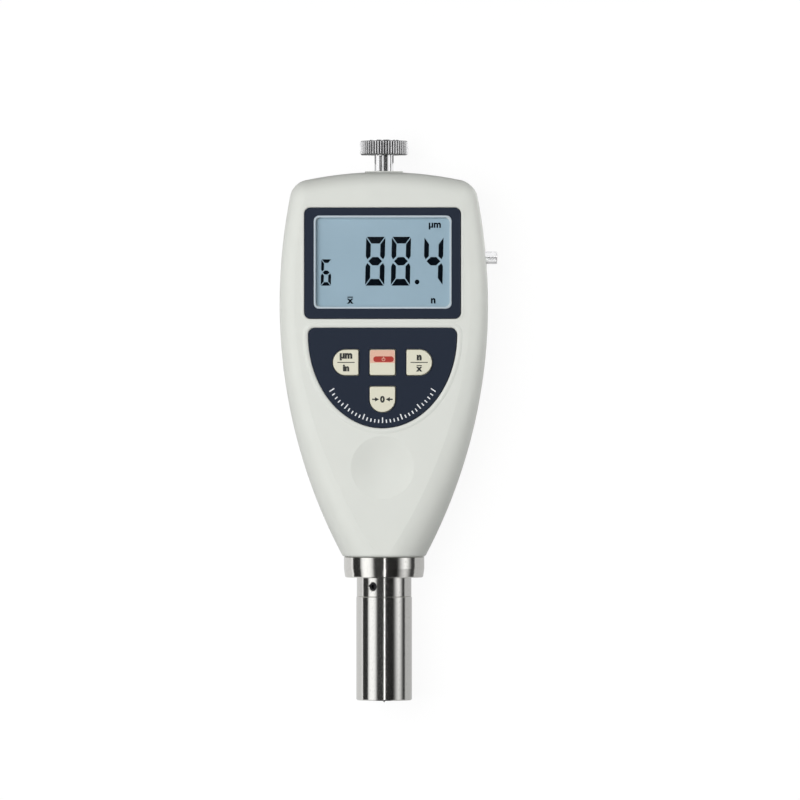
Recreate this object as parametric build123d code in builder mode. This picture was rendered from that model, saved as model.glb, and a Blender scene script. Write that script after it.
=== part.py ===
from build123d import *

import os
from math import sqrt, tan, radians

# Surface roughness meter, a hand gauge with a sprung needle in a steel foot, in millimetres.
# It lies on its back: X to the right, Y along the gauge towards the top screw, Z out of the front.
# The origin is on the back face, straight under the middle of the thumb dimple.
os.makedirs("parts", exist_ok=True)

# Housing
housing_length = 120.6
housing_width = 65.0
housing_depth = 28.0
widest_up = 79.0  # the widest place, above the housing's lower end
end_width = 25.8  # at the lower end, over the collar
shoulder_arc = 178.0  # radius of each long side above the widest place
crown_arc = 118.0  # radius of the top edge, seen from the front
corner_radius = 6.3  # upper corners, seen from the front
edge_radius = 5.4  # rounding of the front and back edges around the display
end_flat = 0.7  # half of the flat left between the roundings at the lower end, which is nearly round
edge_growth = 1.5  # power with which that rounding grows down the grip
grip_sections = 6
skim = 0.02  # taken off the front and back, which leaves them truly flat
end_rounding = 0.9
wall = 2.0
lip_line = 1.0  # from the outside to the step where the two shells meet
lip_height = 1.2
lip_gap = 0.05
seam_depth = 0.4  # groove along the line where the two shells meet
seam_height = 0.35

# Thumb dimple
dimple_up = 28.0
dimple_width = 19.8
dimple_depth = 1.2
dimple_pad = 2.4  # how far the thicker wall behind the dimple reaches past it

# Display
display_down = 11.1  # upper edge, below the top of the housing
display_width = 49.3
display_corner = 2.1
display_edge = 0.25
frame_side = 3.05  # the frame beside the window
frame_above = 2.6
frame_below = 3.3
window_corner = 1.7
window_ledge = 0.6
panel_pocket = 0.8  # depth of the pockets that hold the frame, the window and the keypad plate
panel_proud = 0.2
panel_gap = 0.15
glass_overlap = 1.7  # the display glass beyond the opening in front of it
glass_thickness = 2.8
glass_gap = 0.1
carrier_wall = 0.8
carrier_shelf = 1.6
connector_height = 3.2
connector_width = 2.0

# Keypad
keypad_up = 71.88  # upper edge
panel_spacing = 2.53  # from the keypad to the display above it
keypad_half_width = 23.45
keypad_corner = 2.2
keypad_straight = 2.4  # straight sides below the upper edge
keypad_drop = 29.3  # depth of the curved part
key_size = 7.95
key_spacing = 11.5
key_row_up = 60.9
zero_key_up = 49.35
key_gap = 0.25
key_proud = 0.9
key_edge = 0.5
key_flange = 0.9
key_flange_height = 1.1
key_wall = 1.2
key_stem = 2.6
key_travel = 0.4
switch_size = 6.0
switch_height = 3.4
plunger_diameter = 3.5
plunger_hold = 1.2  # length of the plunger inside the switch
plunger_gap = 0.05

# Circuit board
board_thickness = 1.6
board_low_up = 41.5
board_down = 13.6  # upper edge, below the top of the housing
board_corner = 3.0
board_gap = 0.6
post_diameter = 4.8
post_inset = 3.4  # from the board's side edge
upper_post_up = 71.0
lower_post_up = 45.0
board_screw_diameter = 1.9
board_screw_length = 5.2
board_head_diameter = 3.6
board_head_height = 1.4
chip_size = 10.0
chip_height = 1.6
chip_leg_pitch = 1.1
chip_legs = 8
chip_leg_reach = 1.0
chip_leg_width = 0.4
chip_leg_height = 0.5
amplifier_length = 5.0
amplifier_width = 4.0
amplifier_up = 84.0
crystal_length = 11.0
crystal_width = 4.6
crystal_height = 3.4
crystal_up = 70.0
part_side = 12.0  # how far the small parts on the board stand from the middle
plug_width = 7.0
plug_length = 3.6
plug_height = 2.6

# Batteries and their bay
cell_diameter = 10.5
cell_length = 44.5
nub_diameter = 3.8
nub_length = 1.0
cell_edge = 0.4
cell_pitch = 10.9
cell_count = 4
cell_gap = 0.3
bay_side_gap = 0.35
bay_low_up = 46.5
bay_wall = 1.2
contact_thickness = 0.4
contact_width = 7.0
contact_height = 7.6
leaf_stand = 3.2  # from the bay's end to the cell that the leaf pushes
leaf_width = 4.0
leaf_thickness = 0.3
leaf_bend = 0.8
leaf_inset = 0.8
tab_width = 2.4
tab_gap = 0.3

# Battery door
door_thickness = 1.3
door_gap = 0.15
door_seat_gap = 0.05
hinge_pocket = 4.0
hinge_radius = 1.5
hinge_gap = 0.3
hinge_shoulder = 0.7
hinge_pin_diameter = 1.6
hinge_pin_length = 0.9
hinge_pin_gap = 0.05
door_rib_height = 1.5
door_rib_width = 1.2
grip_rib_count = 5
grip_rib_pitch = 2.2
grip_rib_length = 16.0
grip_groove_depth = 0.4
grip_groove_width = 1.0
nail_notch_width = 12.0
nail_notch_depth = 1.0

# Housing screws
boss_diameter = 6.2
upper_boss_inset = 4.5  # from the housing's side
upper_boss_down = 8.3  # below the top of the housing
lower_boss_inset = 8.1
lower_boss_up = 17.0
case_screw_diameter = 2.4
case_screw_length = 18.0
case_head_diameter = 4.2
case_head_height = 1.6
case_head_sink = 3.2
case_head_gap = 0.3
socket_across = 1.5
socket_depth = 1.0

# Data jack in the right side
jack_down = 26.7  # below the top of the housing
jack_barrel_diameter = 4.0
jack_proud = 3.7
jack_bore = 2.6
jack_depth = 10.0
jack_body_width = 7.6
jack_wall_gap = 0.8
jack_bay_gap = 0.45  # from the jack's body to the battery bay
jack_edge = 0.3

# Probe
collar_diameter = 25.3
collar_height = 6.6
collar_taper_height = 2.8
collar_taper = 0.35
collar_edge = 0.3
stem_diameter = 12.0
stem_bore = 8.0
stem_inside = 9.0  # how far the stem reaches into the housing
stem_hole_gap = 0.1
lock_nut_across = 17.0
lock_nut_height = 3.5
foot_diameter = 17.5
foot_ring_height = 6.05
foot_ring_step = 0.16  # the ring is this much slimmer all round than the sleeve
foot_sleeve_length = 32.55
foot_floor = 3.0
foot_edge = 0.3
seam_edge = 0.15
grub_hole_diameter = 2.5
grub_sink = 0.7
grub_gap = 0.05  # between the screw's end and the stem
grub_rim = 0.25
grub_angle = 22.9  # round the ring from the front, towards the left
grub_down = 2.8  # below the collar
spindle_diameter = 3.0
needle_diameter = 2.0
needle_shank = 1.6
needle_shank_length = 4.5
needle_hole = 2.5
needle_angle = 60.0
needle_travel = 0.8
spindle_clear = 0.6
bush_length = 8.0
bush_gap = 0.02
upper_bush_up = -14.0
clip_diameter = 6.4
clip_thickness = 0.8
spring_wire = 0.5
spring_diameter = 5.6
spring_turns = 7
core_diameter = 3.4
core_length = 16.0
core_neck = 3.0
bobbin_bore = 4.4
bobbin_core = 6.0
bobbin_flange = 11.8
bobbin_flange_height = 1.2
bobbin_length = 24.0
winding_diameter = 10.6
can_wall = 1.0
can_grip = 3.0
can_cap = 1.0
lead_width = 4.0
lead_thickness = 0.4
lead_bend = 1.0

# Top thumb screw
knob_diameter = 15.2
knob_height = 4.5
knob_rise = 5.1  # rod showing between the housing's collar and the knob
knob_teeth = 54
knob_tooth_depth = 0.45
knob_edge = 0.5
knob_pad_diameter = 9.0
knob_pad_height = 0.3
rod_diameter = 6.0
rod_inside = 10.0
rod_gap = 0.05
rod_hole_gap = 0.2
rod_end = 0.6
crown_ring_diameter = 12.0
crown_ring_height = 0.4
insert_diameter = 9.0
insert_length = 9.0
insert_flange_diameter = 11.0
insert_flange_height = 1.6
insert_boss_wall = 1.6

# Places that follow from the sizes above
end_y = -dimple_up
top_y = end_y + housing_length
widest_y = end_y + widest_up
grip_reach = (housing_width - end_width) / 2
grip_arc = (widest_up**2 + grip_reach**2) / 2 / grip_reach  # radius of each long side of the grip
end_radius = min(end_width, housing_depth) / 2 - end_flat
middle_z = housing_depth / 2
front_z = housing_depth
inner_front_z = housing_depth - wall
panel_z = front_z - panel_pocket
panel_top_z = front_z + panel_proud
board_top_z = inner_front_z - glass_thickness - connector_height
board_low_z = board_top_z - board_thickness
key_low_z = inner_front_z - key_flange_height
probe_axis = Axis((0, 0, middle_z), (0, 1, 0))
turning_plane = Plane.XY.offset(middle_z)


def up(distance):
    """The place along the gauge at a distance above the housing's lower end."""
    return end_y + distance


def across(y):
    """The plane across the gauge at y, on the probe's axis. Extruding goes towards the foot."""
    return Plane((0, y, middle_z), x_dir=(1, 0, 0), z_dir=(0, -1, 0))


def half_width(y):
    """Half of the housing's width at y."""
    arc = grip_arc if y < widest_y else shoulder_arc
    return housing_width / 2 - arc + sqrt(arc**2 - (y - widest_y) ** 2)


def edge_rounding(y):
    """The rounding of the front and back edges at y, which grows down the grip."""
    share = (widest_y - y) / widest_up
    return edge_radius + (end_radius - edge_radius) * share**edge_growth


def housing(inset):
    """The housing's outer form, or the same form drawn in by an inset on every side."""
    form_depth = housing_depth - 2 * inset + 2 * skim
    low_y = end_y + inset
    step = (widest_y - low_y) / grip_sections
    with BuildPart() as form:
        with BuildSketch(Plane.XY.offset(inset - skim)) as head:
            with Locations((0, top_y - crown_arc)):
                Circle(crown_arc - inset)
            with Locations((housing_width / 2 - shoulder_arc, widest_y)):
                Circle(shoulder_arc - inset, mode=Mode.INTERSECT)
            with Locations((shoulder_arc - housing_width / 2, widest_y)):
                Circle(shoulder_arc - inset, mode=Mode.INTERSECT)
            with Locations((0, widest_y)):
                Rectangle(
                    housing_width,
                    housing_length,
                    align=(Align.CENTER, Align.MIN),
                    mode=Mode.INTERSECT,
                )
            fillet(head.vertices().group_by(Axis.Y)[-1], corner_radius - inset)
        extrude(amount=form_depth)
        rims = form.edges().filter_by(lambda edge: edge.center().Y > widest_y + skim)
        fillet(rims.filter_by(Axis.Z, reverse=True), edge_radius - inset)
        for number in range(grip_sections + 1):
            y = widest_y - number * step
            with BuildSketch(across(y)):
                RectangleRounded(
                    2 * (half_width(y) - inset), form_depth, edge_rounding(y) - inset
                )
        loft()
        with Locations((0, widest_y, middle_z)):
            Box(
                2 * housing_width,
                2 * housing_length,
                housing_depth - 2 * inset,
                mode=Mode.INTERSECT,
            )
    return form.part


def layer(form, low_z, high_z):
    """The part of a form that lies between two heights."""
    with BuildPart() as band:
        add(form)
        with Locations((0, widest_y, low_z)):
            Box(
                2 * housing_width,
                2 * housing_length,
                high_z - low_z,
                align=(Align.CENTER, Align.CENTER, Align.MIN),
                mode=Mode.INTERSECT,
            )
    return band.part


with BuildPart() as outer:
    add(housing(0))
    fillet(outer.edges().group_by(Axis.Y)[0], end_rounding)
cavity = housing(wall)
under_skin = housing(lip_line)
lip_step = layer(under_skin, middle_z, middle_z + lip_height)
lip_ring = layer(housing(lip_line + lip_gap), middle_z, middle_z + lip_height - lip_gap)

# Places of the display, keypad and board
keypad_y = up(keypad_up)
keypad_curve_y = keypad_y - keypad_straight
row_y = up(key_row_up)
display_low_y = keypad_y + panel_spacing
display_high_y = top_y - display_down
display_y = (display_low_y + display_high_y) / 2
display_height = display_high_y - display_low_y
window_y = display_y + (frame_below - frame_above) / 2
window_width = display_width - 2 * frame_side
window_height = display_height - frame_below - frame_above
opening_width = window_width - 2 * window_ledge
opening_height = window_height - 2 * window_ledge
glass_width = opening_width + 2 * glass_overlap
glass_height = opening_height + 2 * glass_overlap
carrier_inset = glass_gap + carrier_wall
board_low_y = up(board_low_up)
board_high_y = top_y - board_down
board_half = half_width(board_low_y) - wall - board_gap
post_x = board_half - post_inset
post_places = [
    (side * post_x, up(height)) for height in (upper_post_up, lower_post_up) for side in (-1, 1)
]
upper_boss_y = top_y - upper_boss_down
lower_boss_y = up(lower_boss_up)
boss_places = [
    (side * (half_width(y) - inset), y)
    for y, inset in ((upper_boss_y, upper_boss_inset), (lower_boss_y, lower_boss_inset))
    for side in (-1, 1)
]

# Places of the batteries and the door
cell_z = door_thickness + cell_gap + cell_diameter / 2
bay_half = (cell_pitch * (cell_count - 1) + cell_diameter) / 2 + bay_side_gap
bay_low_y = up(bay_low_up)
bay_high_y = bay_low_y + leaf_stand + cell_length + contact_thickness
bay_roof_z = cell_z + cell_diameter / 2 + cell_gap
pocket_low_y = bay_high_y + bay_wall
pocket_high_y = pocket_low_y + hinge_pocket
hinge_y = pocket_high_y - hinge_gap - hinge_radius
hinge_half = bay_half - hinge_gap
rebate_low_y = bay_low_y - bay_wall
rebate_half = bay_half + bay_wall

# Places of the probe
stem_top_y = up(stem_inside)
ring_top_y = end_y - collar_height
sleeve_top_y = ring_top_y - foot_ring_height
foot_y = sleeve_top_y - foot_sleeve_length
foot_floor_y = foot_y + foot_floor
lower_bush_top_y = foot_floor_y + bush_length
clip_top_y = lower_bush_top_y + clip_thickness
upper_bush_y = up(upper_bush_up)
spindle_low_y = foot_floor_y + spindle_clear
spindle_top_y = stem_top_y + core_neck
needle_tip_y = foot_y - needle_travel
needle_cone = needle_diameter / 2 / tan(radians(needle_angle / 2))
bobbin_top_y = stem_top_y + bobbin_length
can_diameter = stem_diameter + 2 * can_wall
can_top_y = bobbin_top_y + can_cap
stem_radius = stem_diameter / 2
foot_radius = foot_diameter / 2
foot_ring_radius = foot_radius - foot_ring_step

# Places of the data jack and the top screw
jack_y = top_y - jack_down
jack_wall_x = half_width(jack_y)
jack_body_x = jack_wall_x - wall - jack_wall_gap
jack_back_x = rebate_half + jack_bay_gap
jack_mouth_x = jack_wall_x + jack_proud
insert_top_y = top_y - wall
insert_low_y = insert_top_y - insert_length
insert_boss_radius = insert_flange_diameter / 2 + insert_boss_wall
knob_low_y = top_y + crown_ring_height + knob_rise
knob_top_y = knob_low_y + knob_height
rod_low_y = top_y - rod_inside


def from_back(x, y, z=0.0):
    """A plane that faces out of the back, so that holes on it run towards the front."""
    return Plane((x, y, z), x_dir=(1, 0, 0), z_dir=(0, 0, -1))


def rounded_plate(width, height, corner, y):
    """A rounded rectangle centred at y, seen from the front."""
    with BuildSketch() as plate:
        with Locations((0, y)):
            RectangleRounded(width, height, corner)
    return plate.sketch


def keypad_shape(margin):
    """The keypad plate's outline, or one that is larger all round by a margin."""
    with BuildSketch() as shape:
        with Locations((0, keypad_curve_y)):
            Ellipse(keypad_half_width + margin, keypad_drop + margin)
            Rectangle(
                2 * housing_width,
                housing_length,
                align=(Align.CENTER, Align.MAX),
                mode=Mode.INTERSECT,
            )
            Rectangle(
                2 * (keypad_half_width + margin),
                keypad_straight + margin,
                align=(Align.CENTER, Align.MIN),
            )
        fillet(shape.vertices().group_by(Axis.Y)[-1], keypad_corner)
    return shape.sketch


def key_shape(key, margin):
    """A key's outline with a margin: a square, or a square with one side rounded to a half circle."""
    size = key_size + 2 * margin
    with BuildSketch() as shape:
        with Locations(Location((key["x"], key["y"], 0), (0, 0, key["turn"]))):
            if key["round"]:
                Circle(size / 2)
                Rectangle(size / 2, size, align=(Align.MAX, Align.CENTER))
            else:
                Rectangle(size, size)
        square_corners = shape.vertices().sort_by_distance((key["x"], key["y"]))
        fillet(square_corners[-2 if key["round"] else 0 :], key_edge)
    return shape.sketch


keys = {
    "units": {"x": -key_spacing, "y": row_y, "turn": 180, "round": True},
    "power": {"x": 0, "y": row_y, "turn": 0, "round": False},
    "mode": {"x": key_spacing, "y": row_y, "turn": 0, "round": True},
    "zero": {"x": 0, "y": up(zero_key_up), "turn": -90, "round": True},
}


# What the two shells share: screw bosses, the seat of the top screw's insert, the seam and holes
with BuildPart() as front_bosses:
    with BuildSketch(Plane.XY.offset(middle_z)):
        with Locations(*boss_places):
            Circle(boss_diameter / 2)
    extrude(amount=inner_front_z - middle_z)
    add(under_skin, mode=Mode.INTERSECT)

with BuildPart() as rear_bosses:
    with BuildSketch(Plane.XY.offset(wall)):
        with Locations(*boss_places):
            Circle(boss_diameter / 2)
    extrude(amount=middle_z - wall)
    add(under_skin, mode=Mode.INTERSECT)

with BuildPart() as screw_seat:
    with BuildSketch(across(top_y - lip_line)):
        Circle(insert_boss_radius)
    extrude(amount=insert_top_y - insert_low_y + wall - lip_line)
    with BuildSketch(across(top_y + crown_ring_height)):
        Circle(crown_ring_diameter / 2)
    extrude(amount=crown_ring_height + lip_line)

with BuildPart() as screw_bore:
    with BuildSketch(turning_plane):
        with Locations((0, insert_low_y)):
            Rectangle(insert_diameter / 2, insert_length, align=Align.MIN)
        with Locations((0, insert_low_y + insert_length / 2)):
            Rectangle(
                insert_flange_diameter / 2,
                insert_flange_height,
                align=(Align.MIN, Align.CENTER),
            )
        with Locations((0, insert_low_y)):
            Rectangle(rod_diameter / 2 + rod_hole_gap, housing_length, align=Align.MIN)
    revolve(axis=probe_axis)

with BuildPart() as seam:
    add(layer(outer.part, middle_z, middle_z + seam_height))
    add(housing(seam_depth), mode=Mode.SUBTRACT)

with BuildPart() as jack_hole:
    with BuildSketch(Plane.YZ.offset(jack_body_x)):
        with Locations((jack_y, middle_z)):
            Circle(jack_barrel_diameter / 2 + stem_hole_gap)
    extrude(amount=jack_proud + 2 * wall)

with BuildPart() as stem_hole:
    with BuildSketch(across(end_y + 2 * wall)):
        Circle(stem_radius + stem_hole_gap)
    extrude(amount=3 * wall)


# Front shell: the window, the keypad, the thumb dimple and the posts of the board
with BuildPart() as front_shell:
    add(layer(outer.part, middle_z, front_z))
    add(cavity, mode=Mode.SUBTRACT)
    add(lip_step, mode=Mode.SUBTRACT)
    add(seam.part, mode=Mode.SUBTRACT)
    with BuildSketch(Plane.XY.offset(inner_front_z - dimple_depth)):
        Circle(dimple_width / 2 + dimple_pad)
    extrude(amount=dimple_depth)
    dimple_sphere = (dimple_width**2 / 4 + dimple_depth**2) / 2 / dimple_depth
    with Locations((0, 0, front_z + dimple_sphere - dimple_depth)):
        Sphere(dimple_sphere, mode=Mode.SUBTRACT)
    with BuildSketch(Plane.XY.offset(board_top_z)):
        with Locations(*post_places):
            Circle(post_diameter / 2)
            Circle(board_screw_diameter / 2, mode=Mode.SUBTRACT)
    extrude(amount=inner_front_z - board_top_z)
    add(front_bosses.part)
    add(layer(screw_seat.part, middle_z, front_z))
    with BuildSketch(Plane.XY.offset(panel_z)):
        add(rounded_plate(display_width, display_height, display_corner, display_y))
        add(keypad_shape(0))
    extrude(amount=panel_pocket, mode=Mode.SUBTRACT)
    with BuildSketch(Plane.XY.offset(inner_front_z)):
        add(rounded_plate(opening_width, opening_height, window_corner, window_y))
        for key in keys.values():
            add(key_shape(key, key_gap))
    extrude(amount=wall, mode=Mode.SUBTRACT)
    with Locations(*[from_back(x, y, middle_z) for x, y in boss_places]):
        Hole(case_screw_diameter / 2, depth=case_screw_length + case_head_sink - middle_z)
    add(screw_bore.part, mode=Mode.SUBTRACT)
    add(jack_hole.part, mode=Mode.SUBTRACT)
    add(stem_hole.part, mode=Mode.SUBTRACT)
front_shell.part.label = "front_shell"
export_step(front_shell.part, "parts/front_shell.step")


# Battery bay, with the pocket of the door's hinge at its upper end
with BuildPart() as bay_block:
    with BuildSketch(Plane.XY.offset(skim)):
        with Locations((0, rebate_low_y)):
            Rectangle(
                2 * rebate_half,
                pocket_high_y + bay_wall - rebate_low_y,
                align=(Align.CENTER, Align.MIN),
            )
    extrude(amount=bay_roof_z + bay_wall - skim)
    add(outer.part, mode=Mode.INTERSECT)

tab_half = contact_width / 2
end_cell_x = cell_pitch * (cell_count - 1) / 2

# Rear shell: the lip, the bay, the screw bosses and the hinge's bearings
with BuildPart() as lip:
    add(lip_ring)
    add(cavity, mode=Mode.SUBTRACT)
    add(front_bosses.part, mode=Mode.SUBTRACT)
    add(screw_seat.part, mode=Mode.SUBTRACT)

with BuildPart() as rear_shell:
    add(layer(outer.part, 0, middle_z))
    add(cavity, mode=Mode.SUBTRACT)
    add(lip.part)
    add(rear_bosses.part)
    add(layer(screw_seat.part, 0, middle_z))
    add(bay_block.part)
    with BuildSketch():
        with Locations((0, bay_low_y)):
            Rectangle(2 * bay_half, bay_high_y - bay_low_y, align=(Align.CENTER, Align.MIN))
        with Locations((0, pocket_low_y)):
            Rectangle(2 * bay_half, hinge_pocket, align=(Align.CENTER, Align.MIN))
    extrude(amount=bay_roof_z, mode=Mode.SUBTRACT)
    with BuildSketch():
        with Locations((0, rebate_low_y)):
            Rectangle(2 * rebate_half, pocket_low_y - rebate_low_y, align=(Align.CENTER, Align.MIN))
    extrude(amount=door_thickness + door_seat_gap, mode=Mode.SUBTRACT)
    with BuildSketch():
        with Locations((0, rebate_low_y)):
            Circle(nail_notch_width / 2)
    extrude(amount=nail_notch_depth, mode=Mode.SUBTRACT)
    with BuildSketch(Plane.YZ):
        with Locations((hinge_y, hinge_radius)):
            Circle(hinge_pin_diameter / 2 + hinge_pin_gap)
    extrude(amount=hinge_half + hinge_pin_length + hinge_gap, both=True, mode=Mode.SUBTRACT)
    with BuildSketch(Plane.XY.offset(bay_roof_z)):
        with Locations((-end_cell_x, bay_low_y), (end_cell_x, bay_low_y)):
            Rectangle(
                tab_width + 2 * tab_gap,
                contact_thickness + tab_gap,
                align=(Align.CENTER, Align.MIN),
            )
    extrude(amount=bay_wall, mode=Mode.SUBTRACT)
    with Locations(*[from_back(x, y) for x, y in boss_places]):
        CounterBoreHole(
            case_screw_diameter / 2,
            case_head_diameter / 2 + case_head_gap,
            case_head_sink,
            depth=housing_depth,
        )
    add(screw_bore.part, mode=Mode.SUBTRACT)
    add(jack_hole.part, mode=Mode.SUBTRACT)
    add(stem_hole.part, mode=Mode.SUBTRACT)
rear_shell.part.label = "rear_shell"
export_step(rear_shell.part, "parts/rear_shell.step")


# Battery door: a panel on the bay's rim, with a hinge roll that turns in the bay's side walls
with BuildPart() as battery_door:
    with BuildSketch(Plane.XY.offset(skim)):
        with Locations((0, rebate_low_y + door_gap)):
            Rectangle(
                2 * (rebate_half - door_gap),
                pocket_low_y - hinge_shoulder - rebate_low_y - door_gap,
                align=(Align.CENTER, Align.MIN),
            )
        with Locations((0, hinge_y)):
            Rectangle(2 * hinge_half, bay_high_y - bay_low_y, align=(Align.CENTER, Align.MAX))
    extrude(amount=door_thickness - skim)
    add(outer.part, mode=Mode.INTERSECT)
    with BuildSketch(Plane.YZ):
        with Locations((hinge_y, hinge_radius)):
            Circle(hinge_radius)
    extrude(amount=hinge_half, both=True)
    with BuildSketch(Plane.YZ):
        with Locations((hinge_y, hinge_radius)):
            Circle(hinge_pin_diameter / 2)
    extrude(amount=hinge_half + hinge_pin_length, both=True)
    with BuildSketch(Plane.XY.offset(door_thickness)):
        with Locations((0, (bay_low_y + bay_high_y) / 2)):
            with GridLocations(cell_pitch, 0, cell_count - 1, 1):
                Rectangle(door_rib_width, cell_length - 2 * leaf_stand)
    extrude(amount=door_rib_height)
    with BuildSketch():
        first_groove_y = rebate_low_y + 2 * grip_rib_pitch
        with Locations((0, first_groove_y + grip_rib_pitch * (grip_rib_count - 1) / 2)):
            with GridLocations(grip_rib_pitch, grip_rib_pitch, 1, grip_rib_count):
                SlotOverall(grip_rib_length, grip_groove_width)
    extrude(amount=grip_groove_depth, mode=Mode.SUBTRACT)
battery_door.part.label = "battery_door"
export_step(battery_door.part, "parts/battery_door.step")


# Housing screws, from the back through the rear bosses into the front ones
with BuildPart() as case_screws:
    with BuildSketch(Plane.XY.offset(case_head_sink)):
        with Locations(*boss_places):
            Circle(case_screw_diameter / 2)
    extrude(amount=case_screw_length)
    with BuildSketch(Plane.XY.offset(case_head_sink - case_head_height)):
        with Locations(*boss_places):
            Circle(case_head_diameter / 2)
    extrude(amount=case_head_height)
    with BuildSketch(Plane.XY.offset(case_head_sink - case_head_height)):
        with Locations(*boss_places):
            RegularPolygon(socket_across / 2, 6, major_radius=False)
    extrude(amount=socket_depth, mode=Mode.SUBTRACT)
case_screws.part.label = "case_screws"
export_step(case_screws.part, "parts/case_screws.step")


# Display: frame and window in the front pocket, glass and carrier behind
with BuildPart() as display_frame:
    with BuildSketch(Plane.XY.offset(panel_z)):
        add(
            rounded_plate(
                display_width - 2 * panel_gap,
                display_height - 2 * panel_gap,
                display_corner - panel_gap,
                display_y,
            )
        )
    extrude(amount=panel_top_z - panel_z)
    chamfer(display_frame.edges().group_by(Axis.Z)[-1], display_edge)
    with BuildSketch(Plane.XY.offset(panel_z)):
        add(rounded_plate(window_width, window_height, window_corner, window_y))
    extrude(amount=panel_top_z - panel_z, mode=Mode.SUBTRACT)
display_frame.part.label = "display_frame"
export_step(display_frame.part, "parts/display_frame.step")

with BuildPart() as display_window:
    with BuildSketch(Plane.XY.offset(panel_z)):
        add(
            rounded_plate(
                window_width - 2 * lip_gap,
                window_height - 2 * lip_gap,
                window_corner - lip_gap,
                window_y,
            )
        )
    extrude(amount=panel_pocket)
display_window.part.label = "display_window"
export_step(display_window.part, "parts/display_window.step")

with BuildPart() as display_glass:
    with BuildSketch(Plane.XY.offset(inner_front_z - glass_thickness)):
        with Locations((0, window_y)):
            Rectangle(glass_width, glass_height)
    extrude(amount=glass_thickness)
display_glass.part.label = "display_glass"
export_step(display_glass.part, "parts/display_glass.step")

with BuildPart() as display_carrier:
    with BuildSketch(Plane.XY.offset(board_top_z)):
        with Locations((0, window_y)):
            RectangleRounded(
                glass_width + 2 * carrier_inset, glass_height + 2 * carrier_inset, carrier_wall
            )
    extrude(amount=inner_front_z - board_top_z)
    with BuildSketch(Plane.XY.offset(board_top_z)):
        with Locations((0, window_y)):
            Rectangle(glass_width - 2 * carrier_shelf, glass_height + 2 * glass_gap)
    extrude(amount=connector_height, mode=Mode.SUBTRACT)
    with BuildSketch(Plane.XY.offset(board_top_z + connector_height)):
        with Locations((0, window_y)):
            Rectangle(glass_width + 2 * glass_gap, glass_height + 2 * glass_gap)
    extrude(amount=glass_thickness, mode=Mode.SUBTRACT)
display_carrier.part.label = "display_carrier"
export_step(display_carrier.part, "parts/display_carrier.step")

with BuildPart() as display_connector:
    with BuildSketch(Plane.XY.offset(board_top_z)):
        with Locations((0, window_y - glass_height / 2)):
            Rectangle(
                glass_width - 2 * carrier_shelf - 2 * glass_gap,
                connector_width,
                align=(Align.CENTER, Align.MIN),
            )
    extrude(amount=connector_height)
display_connector.part.label = "display_connector"
export_step(display_connector.part, "parts/display_connector.step")


# Keypad plate
with BuildPart() as keypad_plate:
    with BuildSketch(Plane.XY.offset(panel_z)):
        add(keypad_shape(-panel_gap))
    extrude(amount=panel_top_z - panel_z)
    chamfer(keypad_plate.edges().group_by(Axis.Z)[-1], display_edge)
    with BuildSketch(Plane.XY.offset(panel_z)):
        for key in keys.values():
            add(key_shape(key, key_gap))
    extrude(amount=panel_top_z - panel_z, mode=Mode.SUBTRACT)
keypad_plate.part.label = "keypad_plate"
export_step(keypad_plate.part, "parts/keypad_plate.step")


# Keys, each over a switch of its own with a sprung plunger
switch_top_z = board_top_z + switch_height
plunger_low_z = switch_top_z - plunger_hold
for name, key in keys.items():
    with BuildPart() as key_cap:
        with BuildSketch(Plane.XY.offset(key_low_z)):
            add(key_shape(key, key_flange))
        extrude(amount=key_flange_height)
        with BuildSketch(Plane.XY.offset(inner_front_z)):
            add(key_shape(key, 0))
        extrude(amount=panel_top_z + key_proud - inner_front_z)
        fillet(key_cap.edges().group_by(Axis.Z)[-1], key_edge / 2)
        with BuildSketch(Plane.XY.offset(key_low_z)):
            add(key_shape(key, -key_wall))
            with Locations((key["x"], key["y"])):
                Circle(key_stem / 2, mode=Mode.SUBTRACT)
        extrude(amount=panel_top_z + key_proud - key_wall - key_low_z, mode=Mode.SUBTRACT)
    key_cap.part.label = f"{name}_key"
    export_step(key_cap.part, f"parts/{name}_key.step")

    with BuildPart() as switch:
        with BuildSketch(Plane.XY.offset(board_top_z)):
            with Locations((key["x"], key["y"])):
                Rectangle(switch_size, switch_size)
        extrude(amount=switch_height)
        with BuildSketch(Plane.XY.offset(plunger_low_z - 2 * key_travel)):
            with Locations((key["x"], key["y"])):
                Circle(plunger_diameter / 2 + plunger_gap)
        extrude(amount=plunger_hold + 2 * key_travel, mode=Mode.SUBTRACT)
    switch.part.label = f"{name}_switch"
    export_step(switch.part, f"parts/{name}_switch.step")

    with BuildPart() as plunger:
        with BuildSketch(Plane.XY.offset(plunger_low_z)):
            with Locations((key["x"], key["y"])):
                Circle(plunger_diameter / 2)
        extrude(amount=key_low_z - plunger_low_z)
    plunger.part.label = f"{name}_plunger"
    export_step(plunger.part, f"parts/{name}_plunger.step")


# Circuit board with its screws and the parts on it
with BuildPart() as circuit_board:
    with BuildSketch(Plane.XY.offset(board_low_z)):
        add(
            rounded_plate(
                2 * board_half,
                board_high_y - board_low_y,
                board_corner,
                (board_high_y + board_low_y) / 2,
            )
        )
        with Locations(*post_places):
            Circle(board_screw_diameter / 2, mode=Mode.SUBTRACT)
    extrude(amount=board_thickness)
circuit_board.part.label = "circuit_board"
export_step(circuit_board.part, "parts/circuit_board.step")

with BuildPart() as board_screws:
    with BuildSketch(Plane.XY.offset(board_low_z)):
        with Locations(*post_places):
            Circle(board_screw_diameter / 2)
    extrude(amount=board_screw_length)
    with BuildSketch(Plane.XY.offset(board_low_z - board_head_height)):
        with Locations(*post_places):
            Circle(board_head_diameter / 2)
    extrude(amount=board_head_height)
board_screws.part.label = "board_screws"
export_step(board_screws.part, "parts/board_screws.step")

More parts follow.
